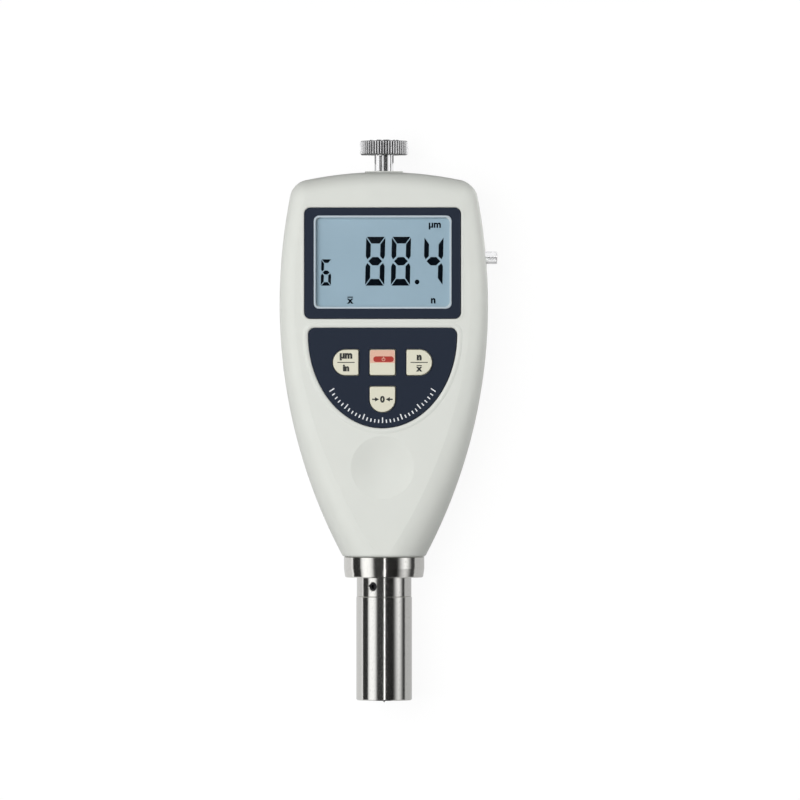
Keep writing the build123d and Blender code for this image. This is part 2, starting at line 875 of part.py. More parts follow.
with BuildPart() as processor:
    with BuildSketch(Plane.XY.offset(board_top_z)):
        with Locations((0, window_y)):
            Rectangle(chip_size, chip_size)
    extrude(amount=chip_height)
    with BuildSketch(Plane.XY.offset(board_top_z)):
        with Locations((0, window_y)):
            with GridLocations(chip_leg_pitch, 0, chip_legs, 1):
                Rectangle(chip_leg_width, chip_size + 2 * chip_leg_reach)
            with GridLocations(0, chip_leg_pitch, 1, chip_legs):
                Rectangle(chip_size + 2 * chip_leg_reach, chip_leg_width)
    extrude(amount=chip_leg_height)
processor.part.label = "processor"
export_step(processor.part, "parts/processor.step")

with BuildPart() as amplifier:
    with BuildSketch(Plane.XY.offset(board_low_z)):
        with Locations((-part_side, up(amplifier_up))):
            Rectangle(amplifier_width, amplifier_length)
    extrude(amount=-chip_height)
    with BuildSketch(Plane.XY.offset(board_low_z)):
        with Locations((-part_side, up(amplifier_up))):
            with GridLocations(0, chip_leg_pitch, 1, chip_legs // 2):
                Rectangle(amplifier_width + 2 * chip_leg_reach, chip_leg_width)
    extrude(amount=-chip_leg_height)
amplifier.part.label = "amplifier"
export_step(amplifier.part, "parts/amplifier.step")

with BuildPart() as crystal:
    with BuildSketch(Plane.XY.offset(board_top_z)):
        with Locations((part_side, up(crystal_up))):
            SlotOverall(crystal_length, crystal_width)
    extrude(amount=crystal_height)
crystal.part.label = "crystal"
export_step(crystal.part, "parts/crystal.step")


# Batteries, side by side, with every second one turned round
with BuildPart() as cell_up:
    with BuildSketch(Plane.XY.offset(cell_z)):
        Rectangle(cell_diameter / 2, cell_length - nub_length, align=Align.MIN)
        Rectangle(nub_diameter / 2, cell_length, align=Align.MIN)
    revolve(axis=Axis((0, 0, cell_z), (0, 1, 0)))
    rims = cell_up.edges().filter_by(GeomType.CIRCLE).sort_by(SortBy.RADIUS)
    fillet(rims[-2:], cell_edge)

for number in range(cell_count):
    x = cell_pitch * (number - (cell_count - 1) / 2)
    with BuildPart() as battery:
        if number % 2 == 0:
            with Locations((x, bay_low_y + leaf_stand, 0)):
                add(cell_up.part)
        else:
            with Locations(Location((x, bay_high_y - leaf_stand, 2 * cell_z), (180, 0, 0))):
                add(cell_up.part)
    battery.part.label = f"battery_{number + 1}"
    export_step(battery.part, f"parts/battery_{number + 1}.step")


def contact(wall_y, way, middle_x, width, leaf_x=None, tab_x=None):
    """A battery contact against a wall of the bay.

    way is 1 where the cells lie on the wall's upper side and -1 where they lie below it. A leaf
    pushes the flat end of the cell at leaf_x, and a tab at tab_x runs up to the circuit board.
    """
    with BuildPart() as piece:
        with BuildSketch(Plane.XZ.offset(-wall_y)):
            with Locations((middle_x, cell_z)):
                Rectangle(width, contact_height)
            if tab_x is not None:
                with Locations((tab_x, cell_z)):
                    Rectangle(tab_width, board_low_z - cell_z, align=(Align.CENTER, Align.MIN))
        extrude(amount=-way * contact_thickness)
        if leaf_x is not None:
            root_y = wall_y + way * contact_thickness / 2
            reach_y = wall_y + way * (leaf_stand - leaf_thickness)
            spread = contact_height / 2 - leaf_inset
            with BuildSketch(Plane.YZ.offset(leaf_x)):
                with BuildLine():
                    FilletPolyline(
                        (root_y, cell_z + spread),
                        (reach_y, cell_z),
                        (root_y + way * leaf_inset, cell_z - spread),
                        radius=leaf_bend,
                    )
                trace(line_width=leaf_thickness)
            extrude(amount=leaf_width / 2, both=True)
    return piece.part


inner_cell_x = cell_pitch / 2
pair_width = contact_width + cell_pitch
contacts = {
    "low_contact_negative": contact(
        bay_low_y, 1, -end_cell_x, contact_width, leaf_x=-end_cell_x, tab_x=-end_cell_x
    ),
    "low_contact_bridge": contact(bay_low_y, 1, 0, pair_width, leaf_x=inner_cell_x),
    "low_contact_positive": contact(bay_low_y, 1, end_cell_x, contact_width, tab_x=end_cell_x),
    "high_contact_left": contact(
        bay_high_y, -1, -cell_pitch, pair_width, leaf_x=-inner_cell_x
    ),
    "high_contact_right": contact(bay_high_y, -1, cell_pitch, pair_width, leaf_x=end_cell_x),
}
for name, piece in contacts.items():
    piece.label = name
    export_step(piece, f"parts/{name}.step")


# Data jack: a plated barrel through the right side, on a body under the board's edge
with BuildPart() as data_jack:
    with BuildSketch(Plane.YZ.offset(jack_back_x)):
        with Locations((jack_y, board_low_z)):
            Rectangle(
                jack_body_width,
                board_low_z - middle_z + jack_body_width / 2,
                align=(Align.CENTER, Align.MAX),
            )
    extrude(amount=jack_body_x - jack_back_x)
    with BuildSketch(Plane.YZ.offset(jack_body_x)):
        with Locations((jack_y, middle_z)):
            Circle(jack_barrel_diameter / 2)
    extrude(amount=jack_mouth_x - jack_body_x)
    mouth = data_jack.edges().filter_by(GeomType.CIRCLE).group_by(Axis.X)[-1]
    fillet(mouth, jack_edge)
    with BuildSketch(Plane.YZ.offset(jack_mouth_x - jack_depth)):
        with Locations((jack_y, middle_z)):
            Circle(jack_bore / 2)
    extrude(amount=jack_depth, mode=Mode.SUBTRACT)
data_jack.part.label = "data_jack"
export_step(data_jack.part, "parts/data_jack.step")


# Probe, from the housing's end down to the needle
with BuildPart() as probe_stem:
    with BuildSketch(across(stem_top_y)):
        Circle(stem_radius)
        Circle(stem_bore / 2, mode=Mode.SUBTRACT)
    extrude(amount=stem_top_y - foot_floor_y)
probe_stem.part.label = "probe_stem"
export_step(probe_stem.part, "parts/probe_stem.step")

with BuildPart() as collar:
    collar_radius = collar_diameter / 2
    with BuildSketch(turning_plane):
        with BuildLine():
            Polyline(
                (stem_radius, ring_top_y),
                (collar_radius - collar_taper - collar_edge, ring_top_y),
                (collar_radius - collar_taper, ring_top_y + collar_edge),
                (collar_radius, ring_top_y + collar_taper_height),
                (collar_radius, end_y - collar_edge),
                (collar_radius - collar_edge, end_y),
                (stem_radius, end_y),
                close=True,
            )
        make_face()
    revolve(axis=probe_axis)
collar.part.label = "collar"
export_step(collar.part, "parts/collar.step")

with BuildPart() as lock_nut:
    with BuildSketch(across(end_y + wall + lock_nut_height)):
        RegularPolygon(lock_nut_across / 2, 6, major_radius=False)
        Circle(stem_radius, mode=Mode.SUBTRACT)
    extrude(amount=lock_nut_height)
lock_nut.part.label = "lock_nut"
export_step(lock_nut.part, "parts/lock_nut.step")

grub_y = ring_top_y - grub_down
grub_plane = Plane((0, grub_y, middle_z), x_dir=(0, 1, 0), z_dir=(0, 0, 1)).rotated(
    (0, -grub_angle, 0)
)
with BuildPart() as foot_ring:
    with BuildSketch(across(ring_top_y)):
        Circle(foot_ring_radius)
        Circle(stem_radius, mode=Mode.SUBTRACT)
    extrude(amount=foot_ring_height)
    rims = foot_ring.edges().filter_by(GeomType.CIRCLE).sort_by(SortBy.RADIUS)
    chamfer(rims[-2:], seam_edge)
    with Locations(grub_plane.offset(foot_ring_radius)):
        CounterSinkHole(
            grub_hole_diameter / 2,
            grub_hole_diameter / 2 + grub_rim,
            depth=foot_ring_radius - stem_radius + grub_rim,
            counter_sink_angle=90,
        )
foot_ring.part.label = "foot_ring"
export_step(foot_ring.part, "parts/foot_ring.step")

with BuildPart() as grub_screw:
    with BuildSketch(grub_plane.offset(stem_radius + grub_gap)):
        Circle(grub_hole_diameter / 2)
    extrude(amount=foot_ring_radius - grub_sink - stem_radius - grub_gap)
    with BuildSketch(grub_plane.offset(foot_ring_radius - grub_sink)):
        RegularPolygon(socket_across / 2, 6, major_radius=False)
    extrude(amount=-socket_depth, mode=Mode.SUBTRACT)
grub_screw.part.label = "grub_screw"
export_step(grub_screw.part, "parts/grub_screw.step")

with BuildPart() as foot_sleeve:
    with BuildSketch(across(sleeve_top_y)):
        Circle(foot_radius)
    extrude(amount=foot_sleeve_length)
    chamfer(foot_sleeve.edges().group_by(Axis.Y)[-1], seam_edge)
    chamfer(foot_sleeve.edges().group_by(Axis.Y)[0], foot_edge)
    with BuildSketch(across(sleeve_top_y)):
        Circle(stem_radius)
    extrude(amount=foot_sleeve_length - foot_floor, mode=Mode.SUBTRACT)
    with BuildSketch(across(foot_floor_y)):
        Circle(needle_hole / 2)
    extrude(amount=foot_floor, mode=Mode.SUBTRACT)
foot_sleeve.part.label = "foot_sleeve"
export_step(foot_sleeve.part, "parts/foot_sleeve.step")

for name, bush_low_y in (("lower_bush", foot_floor_y), ("upper_bush", upper_bush_y)):
    with BuildPart() as bush:
        with BuildSketch(across(bush_low_y + bush_length)):
            Circle(stem_bore / 2)
            Circle(spindle_diameter / 2 + bush_gap, mode=Mode.SUBTRACT)
        extrude(amount=bush_length)
    bush.part.label = name
    export_step(bush.part, f"parts/{name}.step")

with BuildPart() as spindle:
    with BuildSketch(across(spindle_top_y)):
        Circle(spindle_diameter / 2)
    extrude(amount=spindle_top_y - spindle_low_y)
    with BuildSketch(across(spindle_low_y)):
        Circle(needle_shank / 2)
    extrude(amount=-needle_shank_length, mode=Mode.SUBTRACT)
spindle.part.label = "spindle"
export_step(spindle.part, "parts/spindle.step")

with BuildPart() as needle:
    with BuildSketch(turning_plane):
        with BuildLine():
            Polyline(
                (0, needle_tip_y),
                (needle_diameter / 2, needle_tip_y + needle_cone),
                (needle_diameter / 2, spindle_low_y),
                (needle_shank / 2, spindle_low_y),
                (needle_shank / 2, spindle_low_y + needle_shank_length),
                (0, spindle_low_y + needle_shank_length),
                close=True,
            )
        make_face()
    revolve(axis=probe_axis)
needle.part.label = "needle"
export_step(needle.part, "parts/needle.step")

with BuildPart() as spindle_clip:
    with BuildSketch(across(clip_top_y)):
        Circle(clip_diameter / 2)
        Circle(spindle_diameter / 2, mode=Mode.SUBTRACT)
        with Locations((clip_diameter / 2, 0)):
            Rectangle(clip_diameter, spindle_diameter / 2, mode=Mode.SUBTRACT)
    extrude(amount=clip_thickness)
spindle_clip.part.label = "spindle_clip"
export_step(spindle_clip.part, "parts/spindle_clip.step")

with BuildPart() as return_spring:
    spring_room = upper_bush_y - clip_top_y - spring_wire
    with BuildLine():
        coil = Helix(
            spring_room / spring_turns,
            spring_room,
            (spring_diameter - spring_wire) / 2,
            center=(0, clip_top_y + spring_wire / 2, middle_z),
            direction=(0, 1, 0),
        )
    with BuildSketch(Plane(coil @ 0, z_dir=coil % 0)):
        Circle(spring_wire / 2)
    sweep()
return_spring.part.label = "return_spring"
export_step(return_spring.part, "parts/return_spring.step")


# Sensor over the stem: a core on the spindle, inside a wound bobbin in a steel can
with BuildPart() as sensor_core:
    with BuildSketch(across(spindle_top_y + core_length)):
        Circle(core_diameter / 2)
    extrude(amount=core_length)
sensor_core.part.label = "sensor_core"
export_step(sensor_core.part, "parts/sensor_core.step")

with BuildPart() as bobbin:
    with BuildSketch(turning_plane):
        with Locations((bobbin_bore / 2, stem_top_y)):
            Rectangle(
                (bobbin_core - bobbin_bore) / 2,
                bobbin_length,
                align=Align.MIN,
            )
            Rectangle(
                (bobbin_flange - bobbin_bore) / 2,
                bobbin_flange_height,
                align=Align.MIN,
            )
        with Locations((bobbin_bore / 2, bobbin_top_y)):
            Rectangle(
                (bobbin_flange - bobbin_bore) / 2,
                bobbin_flange_height,
                align=(Align.MIN, Align.MAX),
            )
    revolve(axis=probe_axis)
bobbin.part.label = "bobbin"
export_step(bobbin.part, "parts/bobbin.step")

with BuildPart() as winding:
    with BuildSketch(across(bobbin_top_y - bobbin_flange_height)):
        Circle(winding_diameter / 2)
        Circle(bobbin_core / 2, mode=Mode.SUBTRACT)
    extrude(amount=bobbin_length - 2 * bobbin_flange_height)
winding.part.label = "winding"
export_step(winding.part, "parts/winding.step")

with BuildPart() as sensor_can:
    with BuildSketch(across(can_top_y)):
        Circle(can_diameter / 2)
    extrude(amount=can_top_y - stem_top_y + can_grip)
    with BuildSketch(across(bobbin_top_y)):
        Circle(stem_radius)
    extrude(amount=bobbin_length + can_grip, mode=Mode.SUBTRACT)
sensor_can.part.label = "sensor_can"
export_step(sensor_can.part, "parts/sensor_can.step")

plug_middle_z = board_low_z - plug_height / 2
with BuildPart() as sensor_plug:
    with BuildSketch(Plane.XY.offset(board_low_z)):
        with Locations((0, board_low_y)):
            Rectangle(plug_width, plug_length, align=(Align.CENTER, Align.MIN))
    extrude(amount=-plug_height)
sensor_plug.part.label = "sensor_plug"
export_step(sensor_plug.part, "parts/sensor_plug.step")

with BuildPart() as sensor_lead:
    with BuildSketch(Plane.YZ):
        with BuildLine():
            FilletPolyline(
                (can_top_y, middle_z),
                (can_top_y + (board_low_y - can_top_y) / 3, middle_z),
                (can_top_y + (board_low_y - can_top_y) * 2 / 3, plug_middle_z),
                (board_low_y, plug_middle_z),
                radius=lead_bend,
            )
        trace(line_width=lead_thickness)
    extrude(amount=lead_width / 2, both=True)
sensor_lead.part.label = "sensor_lead"
export_step(sensor_lead.part, "parts/sensor_lead.step")


# Top thumb screw with a knurled head, and the insert that it turns in
with BuildPart() as top_screw:
    with BuildSketch(across(knob_top_y)):
        Circle(knob_diameter / 2)
        with PolarLocations(knob_diameter / 2, knob_teeth):
            Rectangle(
                knob_tooth_depth * sqrt(2),
                knob_tooth_depth * sqrt(2),
                rotation=45,
                mode=Mode.SUBTRACT,
            )
    extrude(amount=knob_height)
    knob_radius = knob_diameter / 2
    with BuildSketch(turning_plane):
        with BuildLine():
            Polyline(
                (0, knob_low_y),
                (knob_radius - knob_edge, knob_low_y),
                (knob_radius, knob_low_y + knob_edge),
                (knob_radius, knob_top_y - knob_edge),
                (knob_radius - knob_edge, knob_top_y),
                (0, knob_top_y),
                close=True,
            )
        make_face()
    revolve(axis=probe_axis, mode=Mode.INTERSECT)
    with BuildSketch(across(knob_top_y + knob_pad_height)):
        Circle(knob_pad_diameter / 2)
    extrude(amount=knob_pad_height)
    with BuildSketch(across(knob_low_y)):
        Circle(rod_diameter / 2)
    extrude(amount=knob_low_y - rod_low_y)
    chamfer(top_screw.edges().group_by(Axis.Y)[0], rod_end)
top_screw.part.label = "top_screw"
export_step(top_screw.part, "parts/top_screw.step")

with BuildPart() as screw_insert:
    with BuildSketch(turning_plane):
        bore_radius = rod_diameter / 2 + rod_gap
        with Locations((bore_radius, insert_low_y)):
            Rectangle(insert_diameter / 2 - bore_radius, insert_length, align=Align.MIN)
        with Locations((bore_radius, insert_low_y + insert_length / 2)):
            Rectangle(
                insert_flange_diameter / 2 - bore_radius,
                insert_flange_height,
                align=(Align.MIN, Align.CENTER),
            )
    revolve(axis=probe_axis)
screw_insert.part.label = "screw_insert"
export_step(screw_insert.part, "parts/screw_insert.step")
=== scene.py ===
"""Looks of a hand-held surface roughness meter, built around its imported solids.

The gauge lies on its back on a pale table. X runs to the right of the display, Y along the gauge
towards the top screw and Z out of the front. Objects are in metres, and the sizes that the classes
hold are in millimetres, from the middle of the thumb dimple and the flat back.
"""

import logging
import math
from dataclasses import dataclass, field
from enum import Enum

import bpy
from mathutils import Matrix, Vector


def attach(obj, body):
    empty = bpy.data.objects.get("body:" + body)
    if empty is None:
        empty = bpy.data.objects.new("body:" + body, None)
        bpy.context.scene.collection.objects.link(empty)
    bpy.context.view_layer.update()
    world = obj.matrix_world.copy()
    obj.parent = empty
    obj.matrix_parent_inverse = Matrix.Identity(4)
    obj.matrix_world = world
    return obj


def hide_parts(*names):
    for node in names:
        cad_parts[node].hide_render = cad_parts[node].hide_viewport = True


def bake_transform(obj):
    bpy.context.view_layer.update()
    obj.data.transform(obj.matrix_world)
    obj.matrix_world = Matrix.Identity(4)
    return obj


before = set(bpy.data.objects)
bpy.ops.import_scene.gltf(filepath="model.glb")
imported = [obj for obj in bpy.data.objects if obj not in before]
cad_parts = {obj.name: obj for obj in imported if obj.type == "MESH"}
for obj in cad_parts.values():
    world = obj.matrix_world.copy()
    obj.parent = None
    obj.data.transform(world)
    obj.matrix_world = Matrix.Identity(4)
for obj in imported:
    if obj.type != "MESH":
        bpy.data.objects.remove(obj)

MM = 0.001
AXIS_Z = 14.0
log = logging.getLogger("gauge")

Colour = tuple[float, float, float]
Paint = Colour | bpy.types.NodeSocket
Point = tuple[float, float]
Place = tuple[float, float, float]


def toned(colour: Colour, share: float) -> Colour:
    """A colour made darker, or paler where the share is over 1."""
    return tuple(channel * share for channel in colour)


# Nodes of a material


class Value:
    """A number that varies over a surface. Its operators add Math nodes."""

    def __init__(self, shade: "Shade", socket: bpy.types.NodeSocket) -> None:
        """Wraps the socket that gives the number."""
        self.shade = shade
        self.socket = socket

    def math(self, operation: str, *others: "Value | float") -> "Value":
        """The result of one Math node, with this value as its first input."""
        inputs = dict(enumerate((self, *others)))
        return Value(self.shade, self.shade.node("Math", inputs, operation=operation).outputs[0])

    def __add__(self, other: "Value | float") -> "Value":
        """This value and another together."""
        return self.math("ADD", other)

    def __mul__(self, other: "Value | float") -> "Value":
        """This value times another."""
        return self.math("MULTIPLY", other)

    def __sub__(self, other: "Value | float") -> "Value":
        """This value less another."""
        return self.math("SUBTRACT", other)

    def __rsub__(self, other: float) -> "Value":
        """A number less this value."""
        return self * -1.0 + other

    def __truediv__(self, other: "Value | float") -> "Value":
        """This value divided by another."""
        return self.math("DIVIDE", other)

    def __pow__(self, other: "Value | float") -> "Value":
        """This value to a power."""
        return self.math("POWER", other)

    def __abs__(self) -> "Value":
        """This value without its sign."""
        return self.math("ABSOLUTE")

    def ramp(self, low: float, high: float) -> "Value":
        """Rises smoothly from 0 where the value is low to 1 where it is high.

        Args:
            low: The value that gives 0. It may be larger than high.
            high: The value that gives 1.

        Returns:
            A number from 0 to 1.
        """
        inputs = {"Value": self, "From Min": low, "From Max": high}
        if low > high:
            inputs = {"Value": self * -1.0, "From Min": -low, "From Max": -high}
        made = self.shade.node("MapRange", inputs, interpolation_type="SMOOTHSTEP")
        return Value(self.shade, made.outputs[0])

    def within(self, low: float, high: float, soft: float) -> "Value":
        """1 where the value lies between two numbers, fading to 0 over a soft width beyond each."""
        return self.ramp(low - soft, low) * self.ramp(high + soft, high)


class Shade:
    """The nodes of one material. Places are read in millimetres from the object's coordinates."""

    def __init__(self, name: str) -> None:
        """Starts an empty material and reads where its points lie.

        Args:
            name: The material's name.
        """
        self.material = bpy.data.materials.new(name)
        self.material.use_nodes = True
        self.tree = self.material.node_tree
        self.tree.nodes.clear()
        where = self.node("TexCoord").outputs["Object"]
        self.place = self.vector("MULTIPLY", where, (1 / MM,) * 3)
        axes = self.node("SeparateXYZ", {0: self.place}).outputs
        self.x, self.y, self.z = (Value(self, axis) for axis in axes)

    def node(self, kind: str, inputs: dict | None = None, **settings: object) -> bpy.types.Node:
        """Adds a node.

        Args:
            kind: The node's type without its prefix, such as "Math".
            inputs: A number, colour, socket or Value for each input, by name or number.
            settings: The node's attributes. "stops" gives a ramp's places and colours.

        Returns:
            The node.
        """
        made = self.tree.nodes.new(f"ShaderNode{kind}")
        for name, setting in settings.items():
            if name == "stops":
                stops = made.color_ramp.elements
                stops.remove(stops[-1])
                stops[0].position, stops[0].color = setting[0][0], (*setting[0][1], 1)
                for place, colour in setting[1:]:
                    stops.new(place).color = (*colour, 1)
            else:
                setattr(made, name, setting)
        for name, given in (inputs or {}).items():
            source = given.socket if isinstance(given, Value) else given
            if isinstance(source, bpy.types.NodeSocket):
                self.tree.links.new(source, made.inputs[name])
            elif made.inputs[name].type == "RGBA" and len(source) == 3:
                made.inputs[name].default_value = (*source, 1)
            else:
                made.inputs[name].default_value = source
        return made

    def vector(self, operation: str, *inputs: object) -> bpy.types.NodeSocket:
        """The result of one Vector Math node."""
        return self.node("VectorMath", dict(enumerate(inputs)), operation=operation).outputs[0]

    def noise(
        self,
        size: float,
        detail: float = 2.0,
        stretch: Place = (1, 1, 1),
        where: bpy.types.NodeSocket | None = None,
    ) -> Value:
        """Soft noise about 0.5.

        Args:
            size: The size of its blotches in millimetres.
            detail: How many finer layers it has.
            stretch: How much longer the blotches are along X, Y and Z.
            where: Where it is read, if not at the point itself.

        Returns:
            The noise, from 0 to 1.
        """
        squeeze = tuple(size * length for length in stretch)
        squeezed = self.vector("DIVIDE", self.place if where is None else where, squeeze)
        inputs = {"Vector": squeezed, "Scale": 1.0, "Detail": detail}
        return Value(self, self.node("TexNoise", inputs).outputs[0])

    def rings(self, size: float) -> Value:
        """Noise in fine rings about the probe's axis, round its sides and on its end faces."""
        flat = self.node("CombineXYZ", {0: self.away(self.z - AXIS_Z), 1: self.y}).outputs[0]
        return self.noise(size, where=flat)

    def away(self, other: Value) -> Value:
        """The distance in millimetres from the line where both X and the other value are 0."""
        return (self.x * self.x + other * other) ** 0.5

    def mix(self, share: Value | float, first: Paint, second: Paint) -> bpy.types.NodeSocket:
        """The colour between two others, at the second one's share."""
        return self.node("Mix", {0: share, 6: first, 7: second}, data_type="RGBA").outputs[2]

    def finish(
        self, colour: Paint, rough: Value, relief: Value, depth: float, **others: object
    ) -> bpy.types.Material:
        """Ends the material with a Principled surface.

        Args:
            colour: Its base colour.
            rough: Its roughness.
            relief: Its relief, from 0 to 1.
            depth: The relief's depth in millimetres.
            others: The shader's other inputs, with _ for a space.

        Returns:
            The material.
        """
        normal = self.node("Bump", {"Height": relief, "Distance": depth * MM}).outputs[0]
        inputs = {"Base Color": colour, "Roughness": rough, "Normal": normal}
        inputs |= {name.replace("_", " "): given for name, given in others.items()}
        return self.end(self.node("BsdfPrincipled", inputs))

    def end(self, surface: bpy.types.Node) -> bpy.types.Material:
        """Ends the material with the node of its surface, and gives it."""
        self.node("OutputMaterial", {"Surface": surface.outputs[0]})
        return self.material


# Finishes


@dataclass(frozen=True)
class Plastic:
    """Moulded plastic with a fine grain and a colour that wanders a little."""

    name: str
    colour: Colour
    roughness: float
    grain: float = 0.16
    relief: float = 0.01
    wander: float = 0.05

    def colouring(self, shade: Shade) -> bpy.types.NodeSocket:
        """The colour with its blotches."""
        return shade.mix(shade.noise(9.0, 4.0), toned(self.colour, 1 - self.wander), self.colour)

    def make(self) -> bpy.types.Material:
        """Mixes the plastic's material.

        Returns:
            The material.
        """
        shade = Shade(self.name)
        rough = shade.noise(3.0) * 0.12 + (self.roughness - 0.06)
        return shade.finish(self.colouring(shade), rough, shade.noise(self.grain, 3.0), self.relief)


@dataclass(frozen=True)
class HousingPlastic(Plastic):
    """The housing's plastic: a spark-eroded grain, polished by the thumb in the dimple."""

    dimple_radius: float = 9.9
    seam_z: float = 14.0

    def make(self) -> bpy.types.Material:
        """Mixes the housing's material.

        Returns:
            The material.
        """
        shade = Shade(self.name)
        thumb = shade.away(shade.y).ramp(self.dimple_radius, self.dimple_radius - 4) * shade.z.ramp(20, 24)
        seam = shade.z.within(self.seam_z, self.seam_z + 0.35, 0.25) * 0.5
        colour = self.colouring(shade)
        colour = shade.mix(shade.noise(35.0) * 0.12, colour, (0.74, 0.72, 0.64))
        colour = shade.mix(seam, colour, (0.42, 0.42, 0.39))
        rough = shade.noise(2.5) * 0.1 + (self.roughness - 0.05) - thumb * 0.1
        relief = shade.noise(self.grain, 3.0) * (1 - thumb * 0.7) + shade.noise(1.1) * 0.25
        return shade.finish(colour, rough, relief, self.relief)


@dataclass(frozen=True)
class PanelFilm(Plastic):
    """A printed film with a satin face and faint scuffs."""

    gloss: float = 0.2

    def make(self) -> bpy.types.Material:
        """Mixes the film's material.

        Returns:
            The material.
        """
        shade = Shade(self.name)
        scuffs = shade.noise(0.5, 3.0, (14, 1, 1)).ramp(0.62, 0.8) * shade.noise(7.0)
        colour = shade.mix(scuffs * 0.35, self.colouring(shade), toned(self.colour, 1.6))
        rough = shade.noise(1.5) * 0.08 + self.roughness - scuffs * 0.08
        relief = shade.noise(self.grain, 2.0)
        return shade.finish(colour, rough, relief, self.relief, Specular_IOR_Level=self.gloss)


@dataclass(frozen=True)
class KeyRubber(Plastic):
    """The keys' satin rubber with fine specks, and painted shade down the sides."""

    top_z: float = 29.1

    def make(self) -> bpy.types.Material:
        """Mixes the keys' material.

        Returns:
            The material.
        """
        shade = Shade(self.name)
        specks = shade.noise(0.22, 1.0).ramp(0.6, 0.75) * 0.14
        # Painted shade: the key sides grow darker below the top face.
        side = shade.z.ramp(self.top_z - 0.15, self.top_z - 1.0) * 0.55
        colour = shade.mix(specks, self.colouring(shade), (0.52, 0.52, 0.38))
        colour = shade.mix(side, colour, (0.35, 0.35, 0.29))
        rough = shade.noise(0.8) * 0.12 + self.roughness
        return shade.finish(colour, rough, shade.noise(self.grain, 2.0), self.relief)


@dataclass(frozen=True)
class LiquidCrystal:
    """The display's glass: a grey-blue field, with painted shade towards its rim."""

    name: str
    colour: Colour
    middle_y: float
    half_width: float
    half_height: float

    def make(self) -> bpy.types.Material:
        """Mixes the display's material.

        Returns:
            The material.
        """
        shade = Shade(self.name)
        across = abs(shade.x) / self.half_width
        rim = across.math("MAXIMUM", abs(shade.y - self.middle_y) / self.half_height)
        # Painted shade darkens the glass towards its rim, under the frame's edge.
        colour = shade.mix(rim.ramp(0.9, 1.08) * 0.3, self.colour, toned(self.colour, 0.82))
        clouds = shade.noise(16.0, 3.0).ramp(0.3, 0.7) * 0.5
        colour = shade.mix(clouds, colour, toned(self.colour, 1.07))
        colour = shade.mix(shade.noise(0.18, 1.0) * 0.1, colour, (0.2, 0.27, 0.34))
        rough = shade.noise(4.0) * 0.1 + 0.28
        return shade.finish(colour, rough, shade.noise(0.3), 0.0008)


@dataclass(frozen=True)
class ClearSheet:
    """The window: clear, with a thin gloss and a few wiping marks."""

    name: str
    tint: Colour = (0.96, 0.985, 1.0)

    def make(self) -> bpy.types.Material:
        """Mixes the window's material.

        Returns:
            The material.
        """
        shade = Shade(self.name)
        wipes = shade.noise(2.5, 3.0, (6, 1, 1)).ramp(0.45, 0.85)
        gloss = shade.node("BsdfGlossy", {"Color": (1, 1, 1), "Roughness": wipes * 0.06 + 0.05})
        clear = shade.node("BsdfTransparent", {"Color": self.tint})
        grazing = Value(shade, shade.node("LayerWeight", {"Blend": 0.5}).outputs["Facing"])
        share = (grazing**5 * 0.8 + 0.035) * (shade.noise(5.0) * 0.1 + 0.85)
        return shade.end(shade.node("MixShader", {0: share, 1: clear.outputs[0], 2: gloss.outputs[0]}))


@dataclass(frozen=True)
class TurnedMetal:
    """Metal turned or ground about the probe's axis, with fine rings, haze and darker specks.

    A knurled piece is darker in its valleys, with soot and painted shade, at the shaded valley radius, and is
    rougher on its teeth.
    """

    name: str
    colour: Colour
    roughness: float
    ring: float
    relief: float
    haze: float
    shaded_valley_radius: float = 0.0
    valley_soot_and_shade: Colour = (0.03, 0.03, 0.033)
    knurl: float = 0.0

    def make(self) -> bpy.types.Material:
        """Mixes the metal's material.

        Returns:
            The material.
        """
        shade = Shade(self.name)
        rings = shade.rings(self.ring)
        smear = shade.noise(3.0, 2.0)
        colour = shade.mix(smear.ramp(0.35, 0.75), self.colour, toned(self.colour, 1 - self.haze))
        specks = shade.noise(0.3, 1.0, (1, 2, 1)).ramp(0.5, 0.8)
        colour = shade.mix(specks * 0.5, colour, toned(self.colour, 0.75))
        away = shade.away(shade.z - AXIS_Z)
        if self.shaded_valley_radius:
            # Soot and painted shade darken the valleys between the knurl's teeth.
            shaded_valleys = away.within(self.shaded_valley_radius - 1.0, self.shaded_valley_radius - 0.3, 0.3)
            colour = shade.mix(shaded_valleys * 0.9, colour, self.valley_soot_and_shade)
        rough = smear * self.haze + rings * 0.04 + specks * 0.06 + (self.roughness - 0.02)
        if self.knurl:
            rough += away.ramp(self.shaded_valley_radius - 3, self.shaded_valley_radius - 2) * self.knurl
        return shade.finish(colour, rough, rings, self.relief, Metallic=1.0)


@dataclass(frozen=True)
class Ink:
    """Printing ink, a thin even coat with a slightly broken surface."""

    name: str
    colour: Colour
    roughness: float = 0.45
    gloss: float = 0.3

    def make(self) -> bpy.types.Material:
        """Mixes the ink's material.

        Returns:
            The material.
        """
        shade = Shade(self.name)
        thin = shade.noise(0.35, 3.0).ramp(0.45, 0.8) * 0.5
        colour = shade.mix(thin, self.colour, toned(self.colour, 0.8))
        rough = shade.noise(0.5) * 0.15 + (self.roughness - 0.07)
        return shade.finish(colour, rough, shade.noise(0.12), 0.002, Specular_IOR_Level=self.gloss)


@dataclass(frozen=True)
class Striped:
    """A surface of fine stripes across one axis, such as wound wire, contact rubber or a film lead."""

    name: str
    first: Colour
    second: Colour
    axis: str
    pitch: float
    metallic: float = 0.0
    roughness: float = 0.4
    relief: float = 0.02

    def make(self) -> bpy.types.Material:
        """Mixes the striped material.

        Returns:
            The material.
        """
        shade = Shade(self.name)
        along = {"x": shade.x, "y": shade.y}[self.axis]
        wave = ((along + shade.noise(2.0) * 0.05) * (math.tau / self.pitch)).math("SINE") * 0.5 + 0.5
        colour = shade.mix(wave.ramp(0.3, 0.7), self.first, self.second)
        rough = shade.noise(1.0) * 0.15 + self.roughness - wave * 0.08
        return shade.finish(colour, rough, wave, self.relief, Metallic=self.metallic)


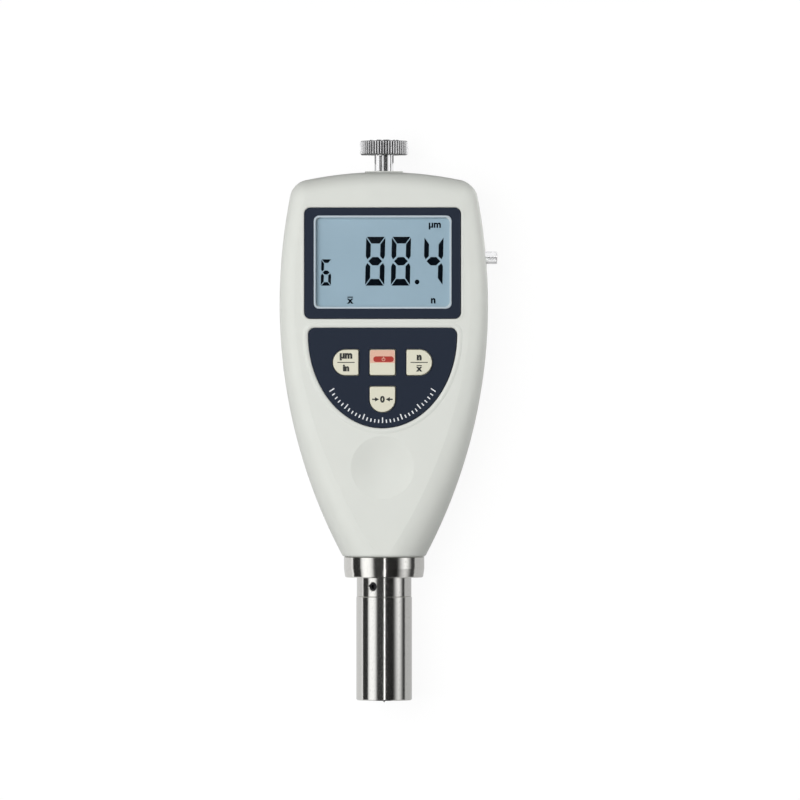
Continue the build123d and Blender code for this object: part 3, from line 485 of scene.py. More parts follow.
@dataclass(frozen=True)
class BoardLacquer:
    """A circuit board's green lacquer over paler copper traces."""

    name: str
    pitch: float = 1.3

    def make(self) -> bpy.types.Material:
        """Mixes the board's material.

        Returns:
            The material.
        """
        shade = Shade(self.name)
        waves = [(axis * (math.tau / self.pitch)).math("SINE") for axis in (shade.x, shade.y)]
        along, across = (wave.ramp(0.72, 0.85) for wave in waves)
        patch = shade.noise(7.0).ramp(0.48, 0.52)
        traces = along * patch + across * (1 - patch)
        colour = shade.mix(traces, (0.012, 0.11, 0.04), (0.03, 0.22, 0.075))
        weave = (shade.x * 9.0).math("SINE") * (shade.y * 9.0).math("SINE") * 0.15
        relief = traces + weave + shade.noise(0.2) * 0.1
        rough = shade.noise(2.0) * 0.12 + 0.28
        return shade.finish(colour, rough, relief, 0.03)


@dataclass(frozen=True)
class CellWrap:
    """A dry cell: a printed sleeve with two rings, and bare metal at both ends."""

    name: str
    middle_y: float
    half_length: float

    def make(self) -> bpy.types.Material:
        """Mixes the cell's material.

        Returns:
            The material.
        """
        shade = Shade(self.name)
        along = abs(shade.y - self.middle_y)
        bare = along.ramp(self.half_length - 1.0, self.half_length - 0.6)
        rings = along.within(self.half_length - 8.0, self.half_length - 5.0, 0.08)
        sleeve = shade.mix(rings, (0.02, 0.07, 0.19), (0.55, 0.57, 0.6))
        sleeve = shade.mix(shade.noise(3.0) * 0.15, sleeve, (0.1, 0.14, 0.24))
        colour = shade.mix(bare, sleeve, (0.62, 0.62, 0.6))
        rough = shade.noise(1.5) * 0.12 + 0.22
        return shade.finish(colour, rough, shade.noise(0.4, 2.0, (1, 8, 1)), 0.006, Metallic=bare)


class Finish(Enum):
    """The finishes of the gauge, each made once and shared by the pieces that have it."""

    HOUSING = HousingPlastic("housing_plastic", (0.735, 0.755, 0.712), 0.44)
    NAVY = PanelFilm("navy_film", (0.012, 0.0185, 0.034), 0.4, 0.11, 0.003)
    KEY = KeyRubber("key_rubber", (0.745, 0.725, 0.585), 0.46, 0.12, 0.004)
    DISPLAY = LiquidCrystal("display_glass", (0.39, 0.495, 0.557), 64.3, 22.7, 15.75)
    WINDOW = ClearSheet("clear_window")
    CARRIER = Plastic("black_moulding", (0.025, 0.025, 0.027), 0.5)
    CONTACT_RUBBER = Striped("striped_rubber", (0.03, 0.03, 0.03), (0.5, 0.5, 0.48), "x", 0.4)
    STEEL = TurnedMetal("ground_steel", (0.74, 0.735, 0.712), 0.12, 0.05, 0.0006, 0.015)
    PLATED = TurnedMetal("collar_plating", (0.78, 0.772, 0.742), 0.1, 0.04, 0.0003, 0.02)
    KNURLED = TurnedMetal("knurled_steel", (0.86, 0.86, 0.87), 0.1, 0.06, 0.0003, 0.02, 7.5, knurl=0.16)
    BLACKENED = TurnedMetal("blackened_steel", (0.04, 0.04, 0.045), 0.35, 0.1, 0.002, 0.1)
    SCREW = TurnedMetal("zinc_plating", (0.5, 0.51, 0.54), 0.25, 0.08, 0.002, 0.12)
    JACK = TurnedMetal("jack_nickel", (0.92, 0.92, 0.93), 0.16, 0.06, 0.0006, 0.1)
    NEEDLE = TurnedMetal("needle_carbide", (0.035, 0.035, 0.04), 0.3, 0.05, 0.0008, 0.08)
    BRASS = TurnedMetal("turned_brass", (0.8, 0.6, 0.28), 0.22, 0.09, 0.002, 0.12)
    SPRING = TurnedMetal("spring_steel", (0.36, 0.37, 0.4), 0.28, 0.12, 0.002, 0.15)
    TIN = TurnedMetal("tinned_sheet", (0.6, 0.6, 0.58), 0.3, 0.2, 0.003, 0.18)
    WINDING = Striped("copper_winding", (0.28, 0.08, 0.03), (0.75, 0.32, 0.14), "y", 0.28, 1.0, 0.3)
    LEAD = Striped("film_lead", (0.42, 0.18, 0.03), (0.62, 0.33, 0.08), "x", 0.8, 0.2, 0.3, 0.01)
    BOARD = BoardLacquer("board_lacquer")
    CHIP = Plastic("chip_moulding", (0.02, 0.02, 0.021), 0.55, 0.08, 0.004)
    BOBBIN = Plastic("bobbin_moulding", (0.05, 0.045, 0.04), 0.45)
    PLUG = Plastic("plug_moulding", (0.72, 0.7, 0.6), 0.4)
    SWITCH = Plastic("switch_moulding", (0.03, 0.03, 0.035), 0.4)
    PLUNGER = Plastic("plunger_moulding", (0.3, 0.31, 0.33), 0.38)
    CELL = CellWrap("cell_wrap", 44.15, 22.25)
    DARK_INK = Ink("dark_ink", (0.03, 0.032, 0.03))
    PALE_INK = Ink("pale_ink", (0.8, 0.82, 0.84))
    BORDER_INK = Ink("border_ink", (0.52, 0.6, 0.66), 0.3)
    SALMON_INK = Ink("salmon_ink", (0.76, 0.47, 0.355))
    RED_INK = Ink("red_ink", (0.4, 0.035, 0.025))
    SEGMENT_INK = Ink("segment_ink", (0.001, 0.003, 0.006), 0.5, 0.02)

    @property
    def material(self) -> bpy.types.Material:
        """The finish's material, made when it is first asked for."""
        return bpy.data.materials.get(self.value.name) or self.value.make()


def coat(thing: bpy.types.Object, finish: Finish) -> None:
    """Leaves a thing with one finish."""
    thing.data.materials.clear()
    thing.data.materials.append(finish.material)


def dress(finish: Finish, *nodes: str) -> None:
    """Gives solids their finish.

    Args:
        finish: The finish.
        nodes: The solids' names.
    """
    for name in nodes:
        coat(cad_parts[name], finish)
        log.info("%s has the finish %s", name, finish.name)


# Modelling


def pick(*things: bpy.types.Object) -> None:
    """Selects only these things, with the last one active.

    Args:
        things: The things, or nothing to leave all of them unselected.
    """
    bpy.ops.object.select_all(action="DESELECT")
    for thing in things:
        thing.select_set(True)
        bpy.context.view_layer.objects.active = thing


def apply() -> None:
    """Brings the active thing's place, turn and scale into its mesh."""
    bpy.ops.object.transform_apply(location=True, rotation=True, scale=True)


def smooth() -> None:
    """Shades the active thing smoothly and keeps its edges over 35 degrees sharp."""
    bpy.ops.object.shade_smooth_by_angle(angle=math.radians(35))


def add(name: str, data: bpy.types.ID) -> bpy.types.Object:
    """Puts a new thing into the scene.

    Args:
        name: Its name.
        data: Its mesh, light or camera.

    Returns:
        The thing.
    """
    thing = bpy.data.objects.new(name, data)
    bpy.context.collection.objects.link(thing)
    return thing


class Sketch:
    """A flat outline in millimetres that is trimmed, cut and thickened into one piece."""

    def __init__(self) -> None:
        """Takes over the mesh object that an operator has just added."""
        self.thing = bpy.context.object

    @classmethod
    def rectangle(cls, width: float, height: float, x: float, y: float) -> "Sketch":
        """A rectangle about a place.

        Args:
            width: Its size along X.
            height: Its size along Y.
            x: Its middle along X.
            y: Its middle along Y.

        Returns:
            The outline.
        """
        pick()
        bpy.ops.mesh.primitive_plane_add(size=1, location=(x, y, 0))
        return cls().stretch(width, height)

    @classmethod
    def ellipse(cls, half_width: float, half_height: float, x: float, y: float, sides: int) -> "Sketch":
        """An ellipse, or a regular shape of few sides, with a corner on +Y.

        Args:
            half_width: Its reach along X.
            half_height: Its reach along Y.
            x: Its middle along X.
            y: Its middle along Y.
            sides: How many sides it has.

        Returns:
            The outline.
        """
        pick()
        bpy.ops.mesh.primitive_circle_add(vertices=sides, radius=1, fill_type="NGON", location=(x, y, 0))
        return cls().stretch(half_width, half_height)

    @classmethod
    def lettering(cls, text: str, height: float, x: float, y: float, weight: float) -> "Sketch":
        """Characters about a place.

        Args:
            text: The characters.
            height: Their height, from the lowest point to the highest.
            x: Their middle along X.
            y: Their middle along Y.
            weight: How much thicker their strokes are, as a share of the height.

        Returns:
            The outline.
        """
        pick()
        bpy.ops.object.text_add()
        letters = bpy.context.object.data
        letters.body, letters.offset, letters.resolution_u = text, weight, 6
        bpy.ops.object.convert(target="MESH")
        made = cls()
        low, high = made.reach()
        size = height / (high.y - low.y)
        middle = (low + high) / 2
        return made.move(Matrix.Translation((x, y, 0)) @ Matrix.Scale(size, 4) @ Matrix.Translation(-middle))

    def stretch(self, width: float, height: float) -> "Sketch":
        """Brings an outline that has just been added to its size.

        Args:
            width: How much wider it gets.
            height: How much taller.

        Returns:
            The outline.
        """
        self.thing.scale = (width, height, 1)
        apply()
        return self

    def reach(self) -> list[Vector]:
        """The lowest and highest corner of the outline."""
        axes = list(zip(*(vertex.co for vertex in self.thing.data.vertices)))
        return [Vector(end(axis) for axis in axes) for end in (min, max)]

    def move(self, matrix: Matrix) -> "Sketch":
        """Moves the outline within its mesh."""
        self.thing.data.transform(matrix)
        return self

    def select(self, mode: str = "FACE") -> "Sketch":
        """Opens the outline for editing with all of it selected.

        Args:
            mode: What is edited: "VERT", "EDGE" or "FACE".

        Returns:
            The outline.
        """
        pick(self.thing)
        bpy.ops.object.mode_set(mode="EDIT")
        bpy.ops.mesh.select_mode(type=mode)
        bpy.ops.mesh.select_all(action="SELECT")
        return self

    def done(self) -> "Sketch":
        """Closes the outline after editing."""
        bpy.ops.object.mode_set(mode="OBJECT")
        return self

    def trim(self, first: Point, second: Point, gap: float = 0.0) -> "Sketch":
        """Cuts away what lies to the right of a line.

        Args:
            first: Where the line starts.
            second: Where it points.
            gap: How far to the left of the line the cut is made.

        Returns:
            The outline.
        """
        along = (Vector(second) - Vector(first)).normalized()
        left = Vector((-along.y, along.x, 0))
        self.select()
        bpy.ops.mesh.bisect(
            plane_co=Vector((*first, 0)) + left * gap, plane_no=-left, use_fill=False, clear_outer=True
        )
        return self.done()

    def round(self, radius: float, above: float = -1e9) -> "Sketch":
        """Rounds the corners that lie above a line across.

        Args:
            radius: The corners' radius.
            above: The line's place along Y.

        Returns:
            The outline.
        """
        self.select("VERT")
        bpy.ops.mesh.select_all(action="DESELECT")
        self.done()
        for vertex in self.thing.data.vertices:
            vertex.select = vertex.co.y > above
        bpy.ops.object.mode_set(mode="EDIT")
        bpy.ops.mesh.bevel(offset=radius, segments=12, affect="VERTICES")
        return self.done()

    def ring(self, width: float) -> "Sketch":
        """Keeps only a band inside the outline.

        Args:
            width: The band's width.

        Returns:
            The outline.
        """
        self.select()
        bpy.ops.mesh.inset(thickness=width)
        bpy.ops.mesh.delete(type="FACE")
        return self.done()

    def bead(self, width: float, height: float, steps: int = 10) -> "Sketch":
        """Raises a rounded bead inside the outline and takes away what it surrounds.

        Args:
            width: The bead's width.
            height: Its height.
            steps: How many flats go across it.

        Returns:
            The piece.
        """
        self.select()
        for step in range(steps):
            rise = math.sin(math.pi * (step + 1) / steps) - math.sin(math.pi * step / steps)
            bpy.ops.mesh.inset(thickness=width / steps, depth=height * rise)
        bpy.ops.mesh.delete(type="FACE")
        bpy.ops.mesh.select_mode(type="EDGE")
        bpy.ops.mesh.select_non_manifold()
        bpy.ops.mesh.bridge_edge_loops()
        return self.outwards()

    def thicken(self, height: float) -> "Sketch":
        """Extrudes the outline upwards.

        Args:
            height: How thick it gets.

        Returns:
            The piece.
        """
        self.select()
        bpy.ops.mesh.extrude_region_move(TRANSFORM_OT_translate={"value": (0, 0, height)})
        return self.outwards()

    def outwards(self) -> "Sketch":
        """Turns all faces outwards and closes the outline.

        Returns:
            The outline.
        """
        bpy.ops.mesh.select_all(action="SELECT")
        bpy.ops.mesh.normals_make_consistent(inside=False)
        return self.done()

    def copy(self, matrix: Matrix) -> "Sketch":
        """A copy with its own mesh, moved by a matrix and with its faces turned outwards."""
        pick(add("copy", self.thing.data.copy()))
        return Sketch().move(matrix).select().outwards()

    def join(self, *others: "Sketch") -> "Sketch":
        """Takes other outlines into this one.

        Args:
            others: The outlines.

        Returns:
            This outline.
        """
        pick(*(sketch.thing for sketch in (*others, self)))
        bpy.ops.object.join()
        return self

    def place(self, name: str, z: float, finish: Finish, slot: str, body: str = "gauge") -> None:
        """Ends the piece: lifts it to its height, in metres, and hands it to its body.

        Args:
            name: The piece's name.
            z: The height of its lower face.
            finish: Its finish.
            slot: Not used.
            body: The body that it moves with.
        """
        self.move(Matrix.Scale(MM, 4) @ Matrix.Translation((0, 0, z)))
        self.thing.name = self.thing.data.name = name
        coat(self.thing, finish)
        pick(self.thing)
        smooth()
        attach(self.thing, body)
        log.info("%s rides on %s with the finish %s", name, body, finish.name)


@dataclass(frozen=True)
class Sign:
    """Printed characters: their height, their middle, and how much bolder they are than the font."""

    text: str
    height: float
    x: float
    y: float
    weight: float

    def draw(self, x: float, y: float) -> Sketch:
        """The characters' outline, moved by x and y."""
        return Sketch.lettering(self.text, self.height, x + self.x, y + self.y, self.weight)


@dataclass(frozen=True)
class Bar:
    """A printed bar: its width, its height and its middle."""

    width: float
    height: float
    x: float
    y: float

    def draw(self, x: float, y: float) -> Sketch:
        """The bar's outline, moved by x and y."""
        return Sketch.rectangle(self.width, self.height, x + self.x, y + self.y)


Signs = tuple[Sign | Bar, ...]
Digits = tuple[tuple[float, str], ...]


def printed(signs: Signs, film: float, x: float = 0.0, y: float = 0.0) -> Sketch:
    """Signs printed as one piece of ink, as thick as the film and moved by x and y."""
    first, *others = [sign.draw(x, y) for sign in signs]
    return first.join(*others).thicken(film)


# Display


# The strokes that each digit lights
LIT = {"8": "ABCDEFG", "4": "BCFG", "6": "ACDEFG"}


@dataclass
class Digit:
    """A seven-segment digit, drawn upright from its lower left corner."""

    width: float = 6.0
    height: float = 15.3
    post: float = 1.5
    bar: float = 2.1
    waist: float = 2.6
    gap: float = 0.15
    lean: float = 0.024
    nose: float = 0.55
    tip: Point = (0.35, 0.22)

    def strokes(self) -> dict[str, Sketch]:
        """Cuts three strokes from the digit's block and copies them for the other four.

        Returns:
            The strokes by letter: A at the top, on clockwise to F, and G across the middle.
        """
        middle, half = self.height / 2, self.waist / 2
        under, inner = self.height - self.bar, self.width - self.post
        top = self._block().trim((0, under), (self.width, under))
        top.trim((0, self.height), (self.post, under), self.gap)
        top.trim((inner, under), (self.width, self.height), self.gap)
        upper_left = self._block().trim((self.post, 0), (self.post, self.height))
        upper_left.trim((self.post, under), (0, self.height), self.gap)
        x, y = self.post * self.tip[0], middle + self.waist * self.tip[1]
        upper_left.trim((x, y), (x + 1, y + 1)).trim((x - 1, y + 2), (x, y))
        waist = self._block().trim((0, middle - half), (self.width, middle - half))
        waist.trim((self.width, middle + half), (0, middle + half))
        nose = self.post * self.nose
        for x, side in ((nose, 1), (self.width - nose, -1)):
            point, lower, upper = (x, middle), (x + side, middle - 1), (x + side, middle + 1)
            for line in ((point, lower), (upper, point)):
                waist.trim(*line[::side])
        half_turn = Matrix.Translation((self.width, self.height, 0)) @ Matrix.Rotation(math.pi, 4, "Z")
        mirror = Matrix.Translation((self.width, 0, 0)) @ Matrix.Diagonal((-1, 1, 1, 1))
        upper_right = upper_left.copy(mirror)
        turned = [stroke.copy(half_turn) for stroke in (upper_left, top, upper_right)]
        return dict(zip("ABCDEFG", (top, upper_right, *turned, upper_left, waist)))

    def _block(self) -> Sketch:
        """The digit's whole block."""
        return Sketch.rectangle(self.width, self.height, self.width / 2, self.height / 2)

    def draw(self, digits: Digits, baseline: float) -> Sketch:
        """Draws digits, leaning a little to the right.

        Args:
            digits: The left end of each digit, and which digit it is.
            baseline: Where they stand along Y.

        Returns:
            All of them as one outline.
        """
        strokes = self.strokes()
        lean = Matrix.Identity(4)
        lean[0][1] = self.lean
        drawn = [
            strokes[stroke].copy(Matrix.Translation((x, baseline, 0)) @ lean)
            for x, digit in digits
            for stroke in LIT[digit]
        ]
        for stroke in strokes.values():
            bpy.data.objects.remove(stroke.thing)
        return drawn[0].join(*drawn[1:])


@dataclass
class Display:
    """The display: its glass, the segments on it and the window with a printed border."""

    glass_z: float = 26.0
    window_z: float = 28.0
    middle_y: float = 64.305
    window_width: float = 43.1
    window_height: float = 29.09
    window_corner: float = 1.65
    border: float = 0.55
    film: float = 0.03
    baseline: float = 56.95
    reading: Digits = ((-5.55, "8"), (2.5, "8"), (12.7, "4"))
    count: Digits = ((-19.45, "6"),)
    small: Digit = field(default_factory=lambda: Digit(3.2, 8.25, 0.92, 1.12, 1.25, 0.11))
    dot_radius: float = 0.75
    dot: Point = (10.75, 58.1)
    signs: Signs = (
        Sign("µm", 2.15, 16.3, 75.6, 0.04),
        Sign("x", 1.6, -10.2, 52.1, 0.045),
        Bar(1.7, 0.32, -10.2, 53.35),
        Sign("n", 1.7, 15.8, 52.2, 0.045),
    )

    def segments(self) -> None:
        """The reading with its point, and the small count beside it."""
        reading = Digit().draw(self.reading, self.baseline)
        count = self.small.draw(self.count, self.baseline)
        dot = Sketch.ellipse(self.dot_radius, self.dot_radius, *self.dot, 24)
        reading.join(count, dot).thicken(self.film)
        reading.place("display_reading", self.glass_z, Finish.SEGMENT_INK, "display")

    def unit_and_signs(self) -> None:
        """The unit, and the signs of a mean and of a count."""
        ink = printed(self.signs, self.film)
        ink.place("display_signs", self.glass_z, Finish.SEGMENT_INK, "display")

    def printed_border(self) -> None:
        """The pale line printed round the window."""
        line = Sketch.rectangle(self.window_width, self.window_height, 0, self.middle_y)
        line.round(self.window_corner).ring(self.border).thicken(self.film)
        line.place("window_border", self.window_z, Finish.BORDER_INK, "window")

    def build(self) -> None:
        """Builds and dresses the display."""
        self.segments()
        self.unit_and_signs()
        self.printed_border()
        dress(Finish.NAVY, "display_frame")
        dress(Finish.DISPLAY, "display_glass")
        dress(Finish.WINDOW, "display_window")
        dress(Finish.CARRIER, "display_carrier")
        dress(Finish.CONTACT_RUBBER, "display_connector")


# Keypad


@dataclass
class Keypad:
    """The keypad: a printed plate with a graduated arc, and four keys with their marks."""

    plate_z: float = 28.2
    key_z: float = 29.1
    film: float = 0.02
    curve_y: float = 41.48
    half_width: float = 23.45
    drop: float = 29.3
    arc_inset: float = 1.75
    long_tick: float = 1.75
    short_tick: float = 1.05
    tick_width: float = 0.36
    ticks: int = 31
    long_every: int = 5
    arc_reach: float = 50.0
    row_y: float = 32.9
    spacing: float = 11.5
    zero_y: float = 21.35
    units_signs: Signs = (
        Sign("µm", 2.35, 0.1, 1.8, 0.065),
        Bar(5.4, 0.26, 0.1, 0.0),
        Sign("in", 2.1, 0.1, -1.75, 0.07),
    )
    mode_signs: Signs = (
        Sign("n", 1.75, 0.0, 1.5, 0.075),
        Bar(5.4, 0.26, 0.0, 0.0),
        Sign("x", 1.5, 0.0, -2.1, 0.06),
        Bar(1.6, 0.28, 0.0, -0.98),
    )
    nought: Sign = Sign("0", 2.15, 0.0, 0.0, 0.065)
    arrow_head: Point = (0.8, 0.85)
    arrow_x: float = -1.9
    arrow_shaft: Bar = Bar(1.1, 0.42, -2.7, 0.0)
    power_field: Bar = Bar(7.7, 4.0, 0.0, 1.85)
    field_corner: float = 0.45
    power_bar: Bar = Bar(6.4, 1.8, 0.35, 1.0)
    bar_corner: float = 0.85
    power_stem: Bar = Bar(0.2, 0.65, 0.35, 1.45)
    loop_radius: float = 0.55
    loop_y: float = 0.95
    loop_line: float = 0.17

    def graduated_arc(self) -> None:
        """White ticks along the plate's lower edge, some of them longer: copies of one of each."""
        lengths = (self.long_tick, self.short_tick)
        models = [Sketch.rectangle(self.tick_width, length, 0, length / 2) for length in lengths]
        width, drop = self.half_width - self.arc_inset, self.drop - self.arc_inset
        made = []
        for number in range(self.ticks):
            turn = math.radians(self.arc_reach * (2 * number / (self.ticks - 1) - 1))
            root = Vector((width * math.sin(turn), self.curve_y - drop * math.cos(turn), 0))
            inward = math.atan2(width * math.cos(turn), -drop * math.sin(turn)) - math.pi / 2
            place = Matrix.Translation(root) @ Matrix.Rotation(inward, 4, "Z")
            made.append(models[1 if number % self.long_every else 0].copy(place))
        for model in models:
            bpy.data.objects.remove(model.thing)
        made[0].join(*made[1:]).thicken(self.film)
        made[0].place("keypad_arc", self.plate_z, Finish.PALE_INK, "navy")

    def fractions(self) -> None:
        """The marks of two keys: signs over and under a line."""
        left, right = (-self.spacing, self.units_signs), (self.spacing, self.mode_signs)
        for key, (x, signs) in {"units": left, "mode": right}.items():
            mark = printed(signs, self.film, x, self.row_y)
            mark.place(f"{key}_mark", self.key_z, Finish.DARK_INK, "key", f"{key}_button")

    def zero_mark(self) -> None:
        """A nought between two arrows."""
        nought = self.nought.draw(0, self.zero_y)
        right = Sketch.ellipse(*self.arrow_head, 0, 0, 3)
        right.move(Matrix.Translation((self.arrow_x, self.zero_y, 0)) @ Matrix.Rotation(-math.pi / 2, 4, "Z"))
        right.join(self.arrow_shaft.draw(0, self.zero_y))
        left = right.copy(Matrix.Diagonal((-1, 1, 1, 1)))
        nought.join(right, left).thicken(self.film)
        nought.place("zero_mark", self.key_z, Finish.DARK_INK, "key", "zero_button")

    def power_mark(self) -> None:
        """A salmon field over the upper half of the key, with a red bar that carries the power sign."""
        salmon, bar, stem = (
            shape.draw(0, self.row_y) for shape in (self.power_field, self.power_bar, self.power_stem)
        )
        salmon.round(self.field_corner, above=self.row_y + self.power_field.y)
        bar.round(self.bar_corner)
        loop_y = self.row_y + self.loop_y
        loop = Sketch.ellipse(self.loop_radius, self.loop_radius, self.power_stem.x, loop_y, 32)
        loop.ring(self.loop_line).join(stem)
        layers = {
            "power_field": (salmon, Finish.SALMON_INK),
            "power_bar": (bar, Finish.RED_INK),
            "power_sign": (loop, Finish.SALMON_INK),
        }
        for number, (name, (layer, ink)) in enumerate(layers.items()):
            height = self.key_z + number * self.film
            layer.thicken(self.film).place(name, height, ink, "key", "power_button")

    def build(self) -> None:
        """Builds and dresses the keypad."""
        self.graduated_arc()
        self.fractions()
        self.zero_mark()
        self.power_mark()
        dress(Finish.NAVY, "keypad_plate")
        names = ("units", "power", "mode", "zero")
        dress(Finish.KEY, *(f"{name}_key" for name in names))
        dress(Finish.SWITCH, *(f"{name}_switch" for name in names))
        dress(Finish.PLUNGER, *(f"{name}_plunger" for name in names))


# Housing


@dataclass
class Housing:
    """The housing: two shells and a battery door, with soft beads round the two panels."""

    face_z: float = 28.0
    display_bead_size: Point = (1.0, 0.1)
    keypad_bead_size: Point = (1.6, 0.22)
    display_size: Point = (49.3, 35.09)
    display_y: float = 63.955
    display_corner: float = 2.1
    keypad: Keypad = field(default_factory=Keypad)
    keypad_top: float = 43.88
    keypad_corner: float = 2.2
    sides: int = 160

    def display_bead(self) -> None:
        """The bead round the display's frame."""
        width, height = self.display_bead_size
        bead = Sketch.rectangle(*(side + 2 * width for side in self.display_size), 0, self.display_y)
        bead.round(self.display_corner + width).bead(width, height)
        bead.place("display_bead", self.face_z, Finish.HOUSING, "shell")

    def keypad_bead(self) -> None:
        """The bead round the keypad's plate."""
        width, height = self.keypad_bead_size
        curve_y, top = self.keypad.curve_y, self.keypad_top + width
        half_width = self.keypad.half_width + width
        bead = Sketch.ellipse(half_width, self.keypad.drop + width, 0, curve_y, self.sides)
        bead.trim((1, curve_y), (0, curve_y))
        straight = Sketch.rectangle(2 * half_width, top - curve_y, 0, (top + curve_y) / 2)
        bead.join(straight).select("EDGE")
        bpy.ops.mesh.remove_doubles(threshold=0.01)
        bpy.ops.mesh.dissolve_limited(angle_limit=math.radians(0.2))
        bead.done().round(self.keypad_corner + width, above=top - 0.1).bead(width, height)
        bead.place("keypad_bead", self.face_z, Finish.HOUSING, "shell")

    def build(self) -> None:
        """Builds and dresses the housing."""
        self.display_bead()
        self.keypad_bead()
        dress(Finish.HOUSING, "front_shell", "rear_shell", "battery_door")
        dress(Finish.SCREW, "case_screws")


# Inside, probe and top screw


@dataclass
class Workings:
    """What the housing holds: the board and its parts, the cells and their contacts, and the jack."""

    cells: int = 4

    def build(self) -> None:
        """Dresses the inner parts."""
        dress(Finish.BOARD, "circuit_board")
        dress(Finish.SCREW, "board_screws")
        dress(Finish.CHIP, "processor", "amplifier")
        dress(Finish.TIN, "crystal", *self.contacts())
        dress(Finish.CELL, *(f"battery_{number + 1}" for number in range(self.cells)))
        dress(Finish.JACK, "data_jack")

    def contacts(self) -> list[str]:
        """The names of the battery contacts."""
        low = [f"low_contact_{name}" for name in ("negative", "bridge", "positive")]
        return low + [f"high_contact_{name}" for name in ("left", "right")]


@dataclass
class Probe:
    """The probe: a ground steel foot and collar over the sprung needle and its sensor."""

    spring_low: Place = (0.0, -61.4, AXIS_Z)
    spring_high: Place = (0.0, -42.0, AXIS_Z)
    merging: float = 0.0001

    def spring(self) -> None:
        """The return spring: a smooth-shaded copy of its solid, which takes the place of the hidden solid."""
        coil = add("sprung_coil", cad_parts["return_spring"].data.copy())
        pick(coil)
        merged = Sketch().select("VERT")
        bpy.ops.mesh.remove_doubles(threshold=self.merging * MM)
        merged.done()
        smooth()
        coat(coil, Finish.SPRING)
        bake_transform(coil)
        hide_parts("return_spring")
        log.info("sprung_coil bends between needle_slider and gauge with the finish SPRING")

    def build(self) -> None:
        """Builds the spring and dresses the probe."""
        self.spring()
        dress(Finish.STEEL, "foot_sleeve", "foot_ring", "probe_stem", "sensor_can")
        dress(Finish.PLATED, "collar")
        dress(Finish.BLACKENED, "grub_screw")
        dress(Finish.SCREW, "lock_nut", "spindle_clip")
        dress(Finish.BRASS, "lower_bush", "upper_bush", "screw_insert")
        dress(Finish.STEEL, "spindle", "sensor_core")
        dress(Finish.NEEDLE, "needle")
        dress(Finish.SPRING, "return_spring")
        dress(Finish.BOBBIN, "bobbin")
        dress(Finish.WINDING, "winding")
        dress(Finish.LEAD, "sensor_lead")
        dress(Finish.PLUG, "sensor_plug")
        dress(Finish.KNURLED, "top_screw")


# Studio


@dataclass(frozen=True)
class Tent:
    """A half round over the table that only gloss sees, with a tone at each angle from straight up.

    Its right side fades towards the foot's lower end.
    """

    name: str
    span: Point
    tones: tuple[Point, ...]
    radius: float = 1260.0
    sides: int = 180
    lowest_z: float = 34.0
    brightest: float = 2.6
    right_side: Point = (26.0, 34.0)
    fade: Point = (-55.0, -110.0)
    faded: float = 0.35

    def build(self) -> None:
        """Bends the tent over the gauge, with its tones painted across it."""
        pick()
        bpy.ops.mesh.primitive_cylinder_add(
            vertices=self.sides,
            radius=self.radius * MM,
            depth=(self.span[1] - self.span[0]) * MM,
            end_fill_type="NOTHING",
            location=(0, sum(self.span) / 2 * MM, AXIS_Z * MM),
            rotation=(math.pi / 2, 0, 0),
        )
        tent = bpy.context.object
        tent.name = self.name
        apply()
        bpy.ops.object.mode_set(mode="EDIT")
        bpy.ops.mesh.select_all(action="SELECT")
        bpy.ops.mesh.bisect(plane_co=(0, 0, self.lowest_z * MM), plane_no=(0, 0, -1), clear_outer=True)
        bpy.ops.object.mode_set(mode="OBJECT")
        shade = Shade(f"{self.name}_tones")
        angle = shade.x.math("ARCTAN2", shade.z - AXIS_Z) * (180 / math.pi)
        stops = [((turn + 90) / 180, (tone / self.brightest,) * 3) for turn, tone in self.tones]
        ramp = shade.node("ValToRGB", {0: angle * (1 / 180) + 0.5}, stops=stops).outputs[0]
        dimming = angle.ramp(*self.right_side) * shade.y.ramp(*self.fade) * self.faded
        glow = shade.node("Emission", {"Color": ramp, "Strength": (1 - dimming) * self.brightest})
        tent.data.materials.append(shade.end(glow))
        only_gloss(tent)


def only_gloss(thing: bpy.types.Object) -> None:
    """Hides a thing of the studio from all rays but glossy ones.

    Args:
        thing: The tent or card.
    """
    for way in ("camera", "diffuse", "transmission", "volume_scatter", "shadow"):
        setattr(thing, f"visible_{way}", False)


# What the metal mirrors: an angle from straight up, in degrees towards +X, and the tone there
LEFT_BOX = (
    (-75.0, 0.02), (-67.5, 0.6), (-62.0, 1.18), (-54.0, 1.3), (-45.0, 1.27),
    (-37.0, 1.1), (-31.5, 0.66), (-27.0, 0.12), (-24.0, 0.04),
)
RIGHT_BOX = (
    (40.0, 0.02), (46.0, 0.24), (51.0, 0.62), (57.0, 0.98), (64.0, 1.27),
    (69.0, 1.16), (75.0, 0.85), (81.0, 0.42), (87.0, 0.08),
)
STRIP = ((-6.0, 0.04), (1.2, 0.05), (1.6, 2.5), (5.9, 2.5), (6.3, 0.04), (20.0, 0.02))
DARK = ((0.0, 0.015), (20.0, 0.015))
OVER_ROD = (
    (-68.0, 1.3), (-60.0, 0.5), (-55.0, 0.04), (-26.0, 0.04), (-20.0, 1.1), (-7.0, 1.1),
    (-1.0, 0.04), (38.0, 0.03), (50.0, 0.7), (62.0, 1.15), (85.0, 1.0),
)
STRIPES = (
    *zip((-75.0, -60.0, -45.0, -30.0, -15.0), (0.9, 2.4) * 3),
    *zip((0.0, 15.0, 30.0, 45.0, 60.0, 75.0), (0.9, 2.4) * 3),
)


